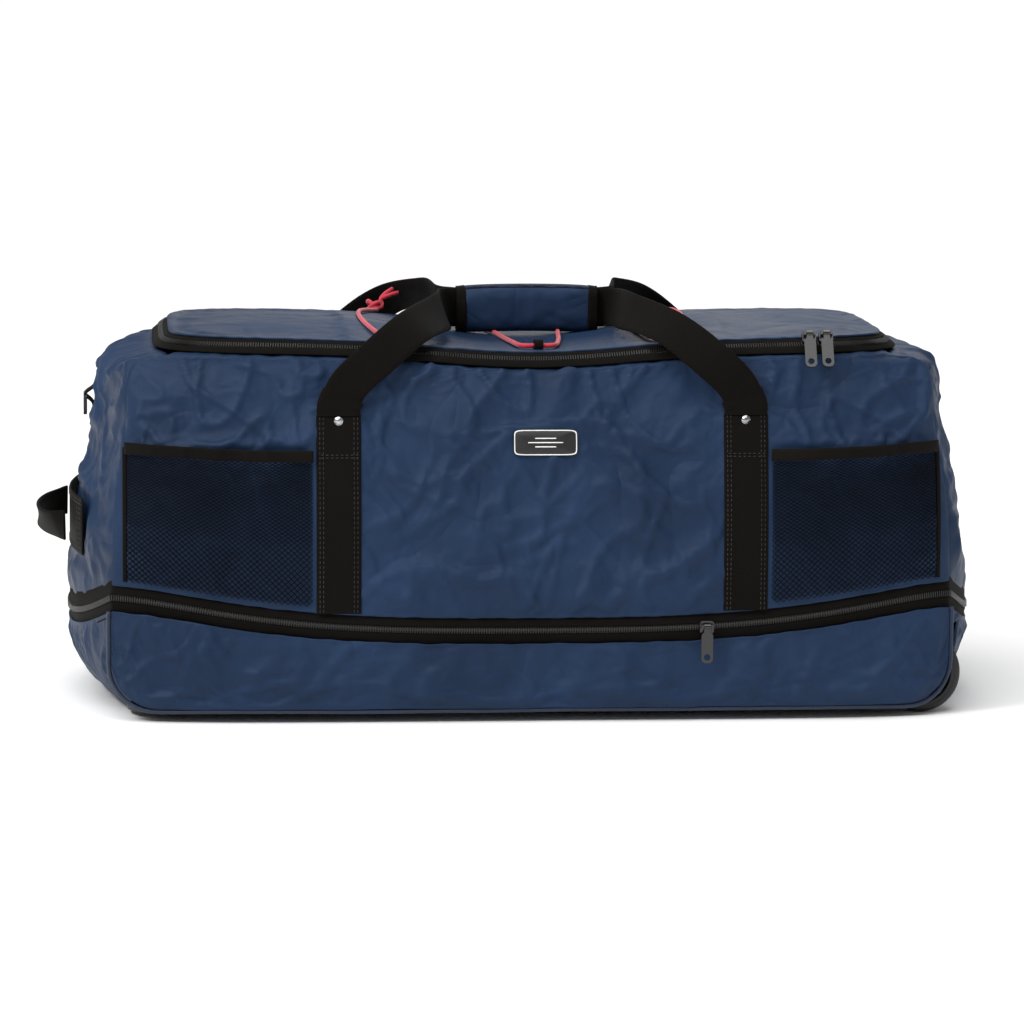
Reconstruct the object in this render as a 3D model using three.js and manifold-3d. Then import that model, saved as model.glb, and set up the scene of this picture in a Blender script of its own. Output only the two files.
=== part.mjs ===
// A wheeled duffel bag, 80 cm long, with an expander zip round its base.
// Millimetres. +X is the wheeled end, +Y the back, +Z up. The origin is the
// middle of the base, on the floor.
import * as THREE from 'three';
import { mergeVertices } from 'three/addons/utils/BufferGeometryUtils.js';
import { LoftGeometry } from 'three/addons/geometries/LoftGeometry.js';
import Module from 'manifold-3d';

const wasm = await Module();
wasm.setup();

// ---------- driving dimensions ----------
const bag = { length: 794, depth: 372, zipHeight: 322, corner: 6, endBulge: 38 };
const fabric = 2; // padded wall
const gap = 0.4; // clearance between neighbours
const seam = bag.length / 2 - bag.endBulge; // front and back panels end here, at the belt
const seamSpread = 0.045; // share of the half length that the seams gain towards the lid
const base = { skid: 3.7, plate: 3, inset: 24, cornerRadius: 38, panelFoot: 12 };
const skid = { length: 470, width: 24, x: -60, spacing: 110 };
const belt = { height: 79, cornerLift: 26, tape: 8, coil: 7, proud: 1.2 };
const webbing = { width: 38, thick: 1.6 };
const handle = { centre: 6, spacing: 347, rivetHeight: 257, foldHeight: 263, dropPastZip: 3, footShare: 0.2 };
const grip = { length: 120, height: 35, thick: 5 };
const rivet = { diameter: 8.5, height: 2 };
const wheel = { diameter: 70, width: 22, rim: 52, fromEnd: 60, behindPanel: 6, bore: 3.4 };
const axle = { radius: 3 };
const housing = { behind: 30, ahead: 8, above: 4, cheek: 3.2, inner: 6, clearance: 3 };
const skirt = { below: 42, above: 18, inset: 6, endInset: 12 };
const lid = { endInset: 89, sideInset: 47, thick: 2.5, crown: 9, dip: 12, dipWidth: 120 };
const zipBand = { width: 14, thick: 2.2 };
const pocket = { top: 222, bulge: 13, thick: 1.4, binding: 9, bindingThick: 2.6 };
const badge = { width: 54, height: 22, thick: 2, x: 8, z: 241 };
const haul = { width: 50, loopWidth: 26, z: 157, half: 70, standOff: 14, reach: 17, bandHalf: 96 };
const ring = { tabWidth: 25, z: 258, bar: 3, inner: 20 };
const slider = { length: 12, height: 11, thick: 5.5, beltX: 146, lidX: [236, 251], lidTilt: -0.5 };
const pull = { width: 10, length: 27, thick: 1.8, eye: 2.4, bar: 1.1 };
const cord = { diameter: 4, lift: 6, inset: 16 };

const halfL = bag.length / 2, halfD = bag.depth / 2;
lid.length = bag.length - 2 * lid.endInset;
lid.depth = bag.depth - 2 * lid.sideInset;
handle.gripHeight = bag.zipHeight - handle.dropPastZip + webbing.width / 2;
wheel.x = halfL - wheel.fromEnd;
housing.back = wheel.x - wheel.diameter / 2 - housing.behind;
housing.front = wheel.x + housing.ahead;
housing.top = wheel.diameter + housing.above;
const V = (x, y, z) => new THREE.Vector3(x, y, z);
const root = new THREE.Group();

// ---------- materials ----------
const plain = (color, roughness = 0.8, metalness = 0) =>
  new THREE.MeshStandardMaterial({ color, roughness, metalness });
const navy = plain(0x2c4670, 0.75);
const black = plain(0x17171a, 0.85);
const mesh = plain(0x141c2c, 0.9);
const plastic = plain(0x111113, 0.5);
const steel = plain(0xb9bcc2, 0.3, 1);
const red = plain(0xb8142c, 0.7);

// ---------- helpers ----------
// Merge the corners, and turn the faces out if they face in.
function tidy(geometry) {
  const bare = new THREE.BufferGeometry().setAttribute('position', geometry.getAttribute('position'));
  const merged = mergeVertices(bare.setIndex(geometry.index), 1e-4);
  const p = merged.attributes.position, index = Array.from(merged.index.array);
  const [a, b, c] = [V(0, 0, 0), V(0, 0, 0), V(0, 0, 0)];
  const faces = [];
  let volume = 0;
  for (let i = 0; i < index.length; i += 3) {
    const f = index.slice(i, i + 3);
    if (f[0] === f[1] || f[1] === f[2] || f[0] === f[2]) continue;
    faces.push(f);
    a.fromBufferAttribute(p, f[0]);
    b.fromBufferAttribute(p, f[1]);
    c.fromBufferAttribute(p, f[2]);
    volume += a.dot(b.cross(c));
  }
  merged.setIndex(faces.flatMap((f) => (volume < 0 ? [f[0], f[2], f[1]] : f)));
  return merged;
}

// One named mesh.
function add(name, geometry, material, parent = root) {
  const m = new THREE.Mesh(tidy(geometry), material);
  m.name = name;
  parent.add(m);
  return m;
}

// A closed geometry as a solid that can be cut, and back again.
function solid(geometry) {
  const g = tidy(geometry);
  return new wasm.Manifold(new wasm.Mesh({
    numProp: 3,
    vertProperties: new Float32Array(g.attributes.position.array),
    triVerts: new Uint32Array(g.index.array),
  }));
}
function geometryOf(s) {
  const m = s.getMesh();
  return new THREE.BufferGeometry()
    .setAttribute('position', new THREE.BufferAttribute(new Float32Array(m.vertProperties), 3))
    .setIndex(new THREE.BufferAttribute(new Uint32Array(m.triVerts), 1));
}

// A box between two corners, a cylinder along an axis, and an extruded outline.
function box(lo, hi) {
  const [x, y, z] = lo.map((v, i) => hi[i] - v);
  return new THREE.BoxGeometry(x, y, z).translate(lo[0] + x / 2, lo[1] + y / 2, lo[2] + z / 2);
}
function rod(axis, radius, from, to, centre, sides = 24) {
  const g = new THREE.CylinderGeometry(radius, radius, to - from, sides);
  if (axis === 'x') g.rotateZ(-Math.PI / 2).translate((from + to) / 2, centre[0], centre[1]);
  if (axis === 'y') g.translate(centre[0], (from + to) / 2, centre[1]);
  return g;
}
const extrude = (shape, depth, curveSegments = 8) =>
  new THREE.ExtrudeGeometry(shape, { depth, bevelEnabled: false, curveSegments });

// Plan of the bag: long sides on a rounded outline as far as the seams, and
// ends that bulge out between them. k is the seam's share of the half length,
// and m how far the end follows the rounded outline instead.
const outline = (share) => Math.pow(1 - Math.pow(Math.min(1, Math.abs(share)), bag.corner), 1 / bag.corner);
const sideY = (x, a = halfL, b = halfD) => b * outline(x / a);
function endX(y, a = halfL, b = halfD, k = seam / halfL, m = 0) {
  const [share, q] = [Math.abs(y) / b, outline(k)];
  const round = outline(share), bulged = k + (1 - k) * (1 - Math.pow(share / q, 2));
  return a * (share > q ? round : m * round + (1 - m) * bulged);
}

wheel.y = sideY(seam) - wheel.width / 2 - wheel.behindPanel;

// The belt zip rises at the corners; the lid zip sags in the middle.
const seamLift = Math.pow(seam / halfL, 3) * Math.pow(sideY(seam) / halfD, 3);
const beltZ = (x, y) =>
  belt.height + belt.cornerLift * Math.pow(Math.abs(x) / halfL, 3) * Math.pow(Math.abs(y) / halfD, 3) / seamLift;
const sag = (x) => lid.dip * Math.exp(-Math.pow(x / lid.dipWidth, 2));
const beltTop = belt.coil / 2 + belt.tape + 6 * gap;

// ---------- upper wall ----------
// Half length, half depth and height, from the belt to the lid zip.
const wall = new THREE.CatmullRomCurve3([
  V(halfL, halfD, belt.height + beltTop),
  V(halfL - 4, halfD, 150),
  V(halfL - 11, halfD - 3, 190),
  V(halfL - 19, halfD - 8, 222),
  V(halfL - 25, halfD - 14, 258),
  V(halfL - 28, halfD - 21, 285),
  V(halfL - 38, halfD - 27, bag.zipHeight - 20),
  V(lid.length / 2 + 20, lid.depth / 2 + 16, bag.zipHeight - 8),
]);
function levelAt(z) {
  let [lo, hi] = [0, 1];
  for (let i = 0; i < 30; i++) {
    const mid = (lo + hi) / 2;
    if (wall.getPoint(mid).z < z) lo = mid;
    else hi = mid;
  }
  return (lo + hi) / 2;
}
// A point of the wall: side -1 front, +1 back, at a lengthwise x; inset is inwards.
const seamShare = (v) => seam / halfL + seamSpread * v;
const seamAt = (v) => wall.getPoint(v).x * seamShare(v);
const rise = (x, y, v) => (beltZ(x, y) - belt.height) * Math.pow(1 - v, 2) - sag(x) * Math.pow(v, 3);
function sidePoint(side, x, v, inset = 0) {
  const s = wall.getPoint(v);
  const y = sideY(x, s.x - inset, s.y - inset);
  return V(x, side * y, s.z + rise(x, y, v));
}
function endPoint(side, y, v, inset = 0) {
  const s = wall.getPoint(v);
  const x = endX(y, s.x - inset, s.y - inset, seamShare(v), Math.pow(v, 4));
  return V(side * x, y, s.z + rise(x, y, v));
}

// A curved sheet: point(s, v, inset) for s and v from 0 to 1. Both faces meet
// on a middle line at the first and the last row, which closes those edges.
function sheet(point, thick, columns, rows, outset = 0) {
  const row = (v, near, far) => {
    const line = (inset) => Array.from({ length: columns + 1 }, (_, i) => point(i / columns, v, inset));
    return [...line(near), ...line(far).reverse()];
  };
  const [near, far] = [-outset, thick - outset], middle = (near + far) / 2;
  const sections = [row(0, middle, middle)];
  for (let j = 0; j <= rows; j++) sections.push(row(j / rows, near, far));
  sections.push(row(1, middle, middle));
  return new LoftGeometry(sections);
}

// Points round the plan outline, as shares of its half length and half depth.
function planShares(m) {
  const points = [], frontSteps = 16, endSteps = 8, yAtSeam = sideY(seam);
  for (const side of [-1, 1]) {
    for (let i = 0; i < frontSteps; i++) {
      const x = -side * seam * Math.sin((2 * i / frontSteps - 1) * Math.PI / 2);
      points.push([x / halfL, side * sideY(x) / halfD]);
    }
    for (let i = 0; i < endSteps; i++) {
      const y = side * yAtSeam * Math.sin((1 - 2 * i / endSteps) * Math.PI / 2);
      points.push([-side * endX(y, halfL, halfD, seam / halfL, m) / halfL, y / halfD]);
    }
  }
  return points;
}
const planPoints = planShares(0), lidPoints = planShares(1);

// A closed band that follows the plan outline.
function hoop(zOf, low, high, inset, thick, a = halfL, b = halfD) {
  const sections = [...planPoints, planPoints[0]].map(([p, q]) => {
    const at = (d) => [(a - d) * p, (b - d) * q];
    const [out, inn] = [at(inset), at(inset + thick)];
    const z = zOf(a * p, b * q);
    return [V(...out, z + low), V(...out, z + high), V(...inn, z + high), V(...inn, z + low)];
  });
  return new LoftGeometry(sections);
}

// A flat strap along points, each with the direction of its width.
function ribbon(points, widths, width, thick) {
  const curve = new THREE.CatmullRomCurve3(points);
  const across = new THREE.CatmullRomCurve3(widths);
  const steps = (points.length - 1) * 2;
  const sections = [];
  for (let i = 0; i <= steps; i++) {
    const t = i / steps;
    const p = curve.getPoint(t), along = curve.getTangent(t);
    const w = across.getPoint(t);
    w.addScaledVector(along, -w.dot(along)).normalize();
    const n = along.clone().cross(w).normalize();
    const corner = (s, k) => p.clone().addScaledVector(w, s * width / 2).addScaledVector(n, k * thick / 2);
    sections.push([corner(-1, -1), corner(1, -1), corner(1, 1), corner(-1, 1)]);
  }
  return new LoftGeometry(sections, { capStart: true, capEnd: true });
}

function tube(points, radius, sides, steps) {
  const circle = new THREE.Shape().absarc(0, 0, radius, 0, 2 * Math.PI, false);
  return new THREE.ExtrudeGeometry(circle, {
    steps, curveSegments: sides / 2, extrudePath: new THREE.CatmullRomCurve3(points),
  });
}

// A rectangle with rounded corners in the XY plane.
function rounded(halfX, halfY, radius) {
  const s = new THREE.Shape();
  s.moveTo(-halfX + radius, -halfY);
  s.lineTo(halfX - radius, -halfY);
  s.absarc(halfX - radius, -halfY + radius, radius, -Math.PI / 2, 0, false);
  s.lineTo(halfX, halfY - radius);
  s.absarc(halfX - radius, halfY - radius, radius, 0, Math.PI / 2, false);
  s.lineTo(-halfX + radius, halfY);
  s.absarc(-halfX + radius, halfY - radius, radius, Math.PI / 2, Math.PI, false);
  s.lineTo(-halfX, -halfY + radius);
  s.absarc(-halfX + radius, -halfY + radius, radius, Math.PI, 1.5 * Math.PI, false);
  return s;
}

const sides = [['front', -1], ['back', 1]];
const ends = [['left', -1], ['right', 1]];

// ---------- base ----------
const housingY = [wheel.y - wheel.width / 2 - 1.5 - housing.inner, wheel.y + wheel.width / 2 + 1.5 + housing.cheek];
// Room kept for one wheel housing, with some more round it.
function housingRoom(side, more) {
  const y = housingY.map((v, i) => side * (v + (i ? 40 : -more))).sort((p, q) => p - q);
  return box([housing.back - more, y[0], -1], [halfL + 10, y[1], housing.top + more]);
}
function makeBase() {
  const [halfX, halfY] = [seam - base.inset / 2, halfD - base.inset];
  const z = base.skid + gap;
  let plate = solid(extrude(rounded(halfX, halfY, base.cornerRadius), base.plate, 5).translate(0, 0, z));
  let board = solid(extrude(rounded(halfX - 12, halfY - 12, base.cornerRadius), base.plate, 5)
    .translate(0, 0, z + base.plate + gap));
  for (const [, side] of sides) {
    plate = plate.subtract(solid(housingRoom(side, gap)));
    board = board.subtract(solid(housingRoom(side, gap)));
  }
  add('bottom_plate', geometryOf(plate), plastic);
  add('base_board', geometryOf(board), plastic);
  for (const [name, k] of [['front', -1], ['middle', 0], ['back', 1]])
    add('skid_' + name, extrude(rounded(skid.length / 2, skid.width / 2, skid.width / 2 - 1), base.skid, 4)
      .translate(skid.x, k * skid.spacing, 0), plastic);

  // Lower panels: the foot runs level, then turns up round the corner.
  const top = (x, y) => beltZ(x, y) - beltTop;
  const foot = (x) => {
    const over = Math.max(0, Math.abs(x) - (seam - base.cornerRadius));
    return base.panelFoot + base.cornerRadius - Math.sqrt(Math.max(0, base.cornerRadius ** 2 - over ** 2));
  };
  for (const [name, side] of sides) {
    const point = (s, v, inset) => {
      const x = seam * Math.sin((s - 0.5) * Math.PI);
      const y = sideY(x, halfL - inset, halfD - inset);
      return V(x, side * y, foot(x) + (top(x, y) - foot(x)) * v);
    };
    add(name + '_lower_panel', sheet(point, fabric, 28, 2), navy);

    // Piping round the panel's foot and sides.
    const r = 2, out = seam + r + 1, arc = base.cornerRadius;
    const path = [];
    const at = (x, z) => path.push(V(x, side * (sideY(Math.min(Math.abs(x), seam)) - 1), z));
    const low = base.panelFoot - r - 0.8;
    for (const z2 of [top(out, sideY(seam)) - 2, 62]) at(-out, z2);
    for (let i = 0; i <= 5; i++) {
      const t = i / 5 * Math.PI / 2;
      at(-(out - arc) - arc * Math.cos(t), low + arc - arc * Math.sin(t));
    }
    for (let x = -280; x <= 280; x += 80) at(x, low);
    for (let i = 5; i >= 0; i--) {
      const t = i / 5 * Math.PI / 2;
      at(out - arc + arc * Math.cos(t), low + arc - arc * Math.sin(t));
    }
    for (const z2 of [62, top(out, sideY(seam)) - 2]) at(out, z2);
    add(name + '_piping', tube(path, r, 6, 44), navy);
  }
  // End gussets lean in towards the floor, and make room for the housings.
  const reach = sideY(seam) - 8;
  for (const [name, side] of ends) {
    const point = (s, v, inset) => {
      const y = reach * (2 * s - 1);
      const lean = 26 * Math.pow(1 - v, 1.6);
      const x = endX(y, halfL - lean - inset, halfD - inset);
      const low = base.panelFoot - 2;
      return V(side * x, y, low + (top(x, y) - low) * v);
    };
    let panel = solid(sheet(point, fabric, 12, 4));
    if (side > 0) for (const [, s] of sides) panel = panel.subtract(solid(housingRoom(s, 2 * gap)));
    add(name + '_lower_panel', geometryOf(panel), navy);
  }
  add('belt_lower_tape', hoop(beltZ, -belt.coil / 2 - gap - belt.tape, -belt.coil / 2 - gap, 0, fabric), black);
  add('belt_zip_coil', hoop(beltZ, -belt.coil / 2, belt.coil / 2, -belt.proud, fabric + belt.proud), black);
}

// ---------- wheels ----------
function makeWheels() {
  const r = wheel.diameter / 2, z = r;
  for (const [name, side] of sides) {
    const y = side * wheel.y;
    // Tyre: a ring with rounded shoulders.
    const w = wheel.width / 2, inner = wheel.rim / 2 + gap;
    const profile = [[inner, -w], [r - 4, -w], [r - 1, -w + 3], [r, -w / 3], [r, w / 3], [r - 1, w - 3], [r - 4, w], [inner, w]];
    const tyre = new THREE.LatheGeometry([...profile, profile[0]].map(([a, b]) => new THREE.Vector2(a, b)), 28);
    add(name + '_wheel_tyre', tyre.translate(wheel.x, y, z), plastic);
    // Hub with six windows between its spokes.
    const disc = new THREE.Shape().absarc(0, 0, wheel.rim / 2, 0, 2 * Math.PI, false);
    disc.holes.push(new THREE.Path().absarc(0, 0, wheel.bore, 0, 2 * Math.PI, true));
    for (let i = 0; i < 6; i++) {
      const mid = i * Math.PI / 3, half = 0.36;
      const hole = new THREE.Path();
      hole.absarc(0, 0, wheel.rim / 2 - 4, mid - half, mid + half, false);
      hole.absarc(0, 0, 10, mid + half * 0.7, mid - half * 0.7, true);
      disc.holes.push(hole);
    }
    const hub = extrude(disc, wheel.width - 4, 4).translate(0, 0, 2 - w).rotateX(Math.PI / 2);
    add(name + '_wheel_hub', hub.translate(wheel.x, y, z), plastic);

    // Housing: a block with a round well, cheeks on both sides of the wheel.
    const span = housingY.map((v) => side * v).sort((p, q) => p - q);
    let body = solid(box([housing.back, span[0], base.skid], [housing.front, span[1], housing.top]));
    const well = [y - w - 1.5, y + w + 1.5];
    body = body.subtract(solid(rod('y', r + housing.clearance, ...well, [wheel.x, z], 40)));
    const mouth = [[wheel.x, well[0], -1], [housing.front + 1, well[1], housing.top + 1]];
    body = body.subtract(solid(box(...mouth)));
    body = body.subtract(solid(box([wheel.x - r - housing.clearance, well[0], -1], [wheel.x + 1, well[1], z])));
    body = body.subtract(solid(rod('y', axle.radius + gap, span[0] - 1, span[1] + 1, [wheel.x, z])));
    // The outer cheek stays behind the rounded corner of the panel.
    const outer = [side * (wheel.y + w + 1), side * (housingY[1] + 1)].sort((p, q) => p - q);
    body = body.subtract(solid(box([wheel.x - 12, outer[0], -1], [housing.front + 1, outer[1], z - 12])));
    add(name + '_wheel_housing', geometryOf(body), plastic);
    add(name + '_axle', rod('y', axle.radius, span[0] + gap, span[1] - gap, [wheel.x, z], 16), steel);
  }
}

// ---------- upper walls ----------
function makeWalls() {
  for (const [name, side] of sides)
    add(name + '_panel', sheet((s, v, inset) =>
      sidePoint(side, seamAt(v) * Math.sin((s - 0.5) * Math.PI) * 0.998, v, inset), fabric, 22, 8), navy);
  for (const [name, side] of ends)
    add(name + '_end_panel', sheet((s, v, inset) => {
      const limit = sidePoint(1, seamAt(v), v).y - 4;
      return endPoint(side, limit * (2 * s - 1), v, inset);
    }, fabric, 10, 8), navy);
  const low = belt.coil / 2 + gap;
  add('belt_upper_tape', hoop(beltZ, low, low + belt.tape, 0, fabric), black);
  let fold = solid(hoop(beltZ, -skirt.below, skirt.above, fabric + skirt.inset, fabric, halfL - skirt.endInset));
  for (const [, side] of sides) fold = fold.subtract(solid(housingRoom(side, 2)));
  add('expansion_skirt', geometryOf(fold), navy);

  // Zip band round the lid, lower on its outer edge.
  const sections = [...lidPoints, lidPoints[0]].map(([p, q]) => {
    const at = (d, z) => {
      const x = (lid.length / 2 + d) * p;
      return V(x, (lid.depth / 2 + d) * q, bag.zipHeight - sag(x) + z);
    };
    const [inner, outer] = [1, 1 + zipBand.width];
    return [at(outer, -5), at(inner, 0), at(inner, zipBand.thick), at(outer, zipBand.thick - 5)];
  });
  add('lid_zip', new LoftGeometry(sections), black);

  // Sewn webbing and rivets.
  const strapTop = handle.foldHeight - 1;
  for (const [name, side] of sides) for (const [hand, k] of ends) {
    const x = handle.centre + k * handle.spacing / 2;
    const count = 5, points = [];
    for (let i = 0; i <= count; i++) {
      const v = levelAt(strapTop) * (0.005 + 0.995 * i / count);
      points.push(sidePoint(side, x, v, -webbing.thick / 2 - 0.8));
    }
    add(name + '_' + hand + '_strap', ribbon(points, points.map(() => V(1, 0, 0)), webbing.width, webbing.thick), black);
    const head = sidePoint(side, x, levelAt(handle.rivetHeight), -webbing.thick - 2);
    const dome = [[0, rivet.height], [rivet.diameter / 4, rivet.height * 0.85], [rivet.diameter / 2, 0.5],
      [rivet.diameter / 2, 0], [0, 0]].map(([a, b]) => new THREE.Vector2(a, b));
    const m = add(name + '_' + hand + '_rivet', new THREE.LatheGeometry(dome, 10), steel);
    m.position.copy(head);
    m.rotation.x = side < 0 ? Math.PI + 0.16 : -0.16;
  }

  // Mesh pockets on the front, each with a binding along its mouth.
  const strapEdge = handle.spacing / 2 + webbing.width / 2 + 3;
  const mouth = levelAt(pocket.top);
  for (const [hand, k] of ends) {
    const inner = handle.centre + k * strapEdge, outer = k * (seam - 12);
    const swell = (s, v) => pocket.thick + 1.4 + pocket.bulge * Math.pow(Math.sin(Math.PI * s), 0.8) * Math.pow(v, 0.8);
    const net = (s, v, inset) => {
      const p = sidePoint(-1, inner + (outer - inner) * s, 0.02 + v * (mouth - 0.02));
      p.y -= swell(s, v) - inset;
      return p;
    };
    add(hand + '_mesh_pocket', sheet(net, pocket.thick, 12, 5), mesh);
    const edge = (s, v, inset) => {
      const p = net(s, 1, inset);
      p.z += gap + v * pocket.binding;
      p.y += 0.12 * v * pocket.binding;
      return p;
    };
    add(hand + '_pocket_binding', sheet(edge, pocket.bindingThick, 12, 1, 0.6), black);
  }

  // Badge plate, set flat on the wall.
  const at = levelAt(badge.z);
  const p = sidePoint(-1, badge.x, at);
  const slope = sidePoint(-1, badge.x, at + 0.05).sub(p);
  const plate = extrude(rounded(badge.width / 2, badge.height / 2, 2), badge.thick, 3).rotateX(Math.PI / 2);
  const m = add('badge', plate, plastic);
  m.rotation.x = -Math.atan2(slope.y, slope.z);
  m.position.copy(p).y -= 1.2;
}

// ---------- left end: band, haul handle, shoulder ring ----------
function makeEnd() {
  const at = levelAt(haul.z);
  const on = (y, out) => {
    const p = endPoint(-1, y, at);
    p.x -= out;
    p.z = haul.z;
    return p;
  };
  const band = [], rowCount = 6;
  for (let i = 0; i <= rowCount; i++) band.push(on(haul.bandHalf * (2 * i / rowCount - 1), 4));
  add('end_band', ribbon(band, band.map(() => V(0, 0, 1)), haul.width, webbing.thick), black);
  const loop = [-1, -0.86, -0.5, 0, 0.5, 0.86, 1].map((s) =>
    on(haul.half * s, haul.standOff + haul.reach * Math.pow(1 - s * s, 0.7)));
  add('haul_handle', ribbon(loop, loop.map(() => V(0, 0, 1)), haul.loopWidth, webbing.thick * 1.6), black);

  const v = levelAt(ring.z);
  const tabBottom = endPoint(-1, 0, v);
  const tab = [V(tabBottom.x - 2.4, 0, ring.z - 22), V(tabBottom.x - 1.8, 0, ring.z), V(tabBottom.x - 2.4, 0, ring.z + 16)];
  tab[0].x = endPoint(-1, 0, levelAt(ring.z - 22)).x - 2.2;
  tab[2].x = endPoint(-1, 0, levelAt(ring.z + 16)).x - 2.2;
  tab[1].x = Math.min(tab[0].x, tab[2].x) - 0.4;
  add('ring_tab', ribbon(tab, tab.map(() => V(0, 1, 0)), ring.tabWidth, webbing.thick), black);
  // A rectangular ring that hangs down, in front of the tab.
  const hole = rounded(ring.inner / 2, ring.inner / 3, 3);
  const frame = rounded(ring.inner / 2 + ring.bar, ring.inner / 3 + ring.bar, 5);
  frame.holes.push(new THREE.Path(hole.getPoints(4).reverse()));
  const g = extrude(frame, ring.bar, 4).translate(0, -ring.inner / 3 - ring.bar, -ring.bar / 2);
  add('shoulder_ring', g.rotateX(Math.PI / 2).rotateZ(Math.PI / 2).translate(tab[1].x - 4.5, 0, ring.z + 6), plastic);
}

// ---------- lid ----------
const lidZ = (x, y) => {
  const along = x / (lid.length / 2), over = y / (lid.depth / 2);
  const crown = lid.crown * (1 - over * over) * (1 - Math.pow(along, 4)) * (1 - Math.exp(-Math.pow(x / lid.dipWidth, 2)));
  return bag.zipHeight - sag(x) + crown;
};
const eyelets = [-114, handle.centre, 118];
function makeLid() {
  const rings = [0, 0.35, 0.65, 0.88, 1];
  const loop = (share, down) => lidPoints.map(([p, q]) => {
    const x = share * lid.length / 2 * p, y = share * lid.depth / 2 * q;
    return V(x, y, lidZ(x, y) - down);
  });
  add('lid_panel', new LoftGeometry([
    ...rings.map((share) => loop(share, 0)),
    ...[...rings].reverse().map((share) => loop(share, lid.thick)),
  ]), navy);

  // Elastic cord laced across the lid, through three loops at the front.
  const edge = lid.depth / 2 - cord.inset;
  const at = (x, y) => V(x, y, lidZ(x, y) + cord.lift);
  const [a, b, c] = eyelets;
  const back = [(a + b) / 2, (b + c) / 2, c + 24];
  const apex = (x, y) => [at(x - 13, y), at(x, y), at(x + 13, y)];
  const path = [at(a - 6, edge - 4), at(a - 26, 40), at(a - 22, -edge + 34), ...apex(a, -edge), at(a + 22, -edge + 34),
    at((a + back[0]) / 2 + 6, 10), at(back[0] - 18, edge - 30), ...apex(back[0], edge), at(back[0] + 18, edge - 30),
    at((back[0] + b) / 2, 0), at(b - 20, -edge + 32), ...apex(b, -edge), at(b + 20, -edge + 32),
    at((b + back[1]) / 2, 0), at(back[1] - 18, edge - 30), ...apex(back[1], edge), at(back[1] + 18, edge - 30),
    at((back[1] + c) / 2, 0), at(c - 20, -edge + 32), ...apex(c, -edge), at(c + 20, -edge + 34),
    at(c + 26, 30), at(back[2] - 4, edge - 6)];
  add('bungee_cord', tube(path, cord.diameter / 2, 8, 62), red);
  const outer = 5.6, inner = 4.5;
  for (const [i, x] of eyelets.entries()) {
    const profile = new THREE.Shape().absarc(0, 0, outer, 0, 2 * Math.PI, false);
    profile.holes.push(new THREE.Path().absarc(0, 0, inner, 0, 2 * Math.PI, true));
    const g = extrude(profile, 6, 6).translate(0, 0, -3).rotateY(Math.PI / 2);
    add('cord_loop_' + (i + 1), g.translate(x, -edge, lidZ(x, -edge) + cord.lift), black);
  }
}

// ---------- handles ----------
function makeHandles() {
  // Run of the front loop's right half, from the fold to the grip, then mirrored.
  const reach = handle.spacing / 2, y0 = sidePoint(-1, 0, levelAt(handle.foldHeight), -3.2).y;
  const run = [
    [reach, y0, handle.foldHeight + handle.footShare * webbing.width, [1, 0, 0]],
    [reach - 8, y0 - 2, handle.foldHeight + 24, [0.9, 0, 0.4]],
    [reach - 34, y0 - 1, handle.foldHeight + 49, [0.75, 0, 0.62]],
    [reach - 62, y0 + 22, handle.gripHeight - 5, [0.66, 0.25, 0.66]],
    [reach - 92, y0 + 82, handle.gripHeight + 4, [0.35, 0.45, 0.8]],
    [grip.length / 2 + 12, -9, handle.gripHeight + 1, [0.1, 0, 1]],
    [grip.length / 2 - 6, -3.6, handle.gripHeight, [0, 0, 1]],
    [0, -3.4, handle.gripHeight, [0, 0, 1]],
  ];
  const rightSide = run.map(([x, y, z, w]) => [V(handle.centre + x, y, z), V(...w)]);
  const leftSide = run.slice(0, -1).map(([x, y, z, w]) => [V(handle.centre - x, y, z), V(-w[0], w[1], w[2])]);
  const all = [...leftSide, ...rightSide.reverse()];
  for (const [name, side] of sides) {
    const band = ribbon(all.map(([p]) => p), all.map(([, w]) => w), webbing.width - 4, webbing.thick);
    add(name + '_handle', band.scale(1, -side, 1), black);
    const y = [side * 5.4, side * (5.4 + grip.thick)].sort((p, q) => p - q);
    const [x0, x1] = [handle.centre - grip.length / 2, handle.centre + grip.length / 2];
    const z0 = handle.gripHeight - grip.height / 2;
    add(name + '_grip_wrap', box([x0, y[0], z0], [x1, y[1], z0 + grip.height]), navy);
  }
}

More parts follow.
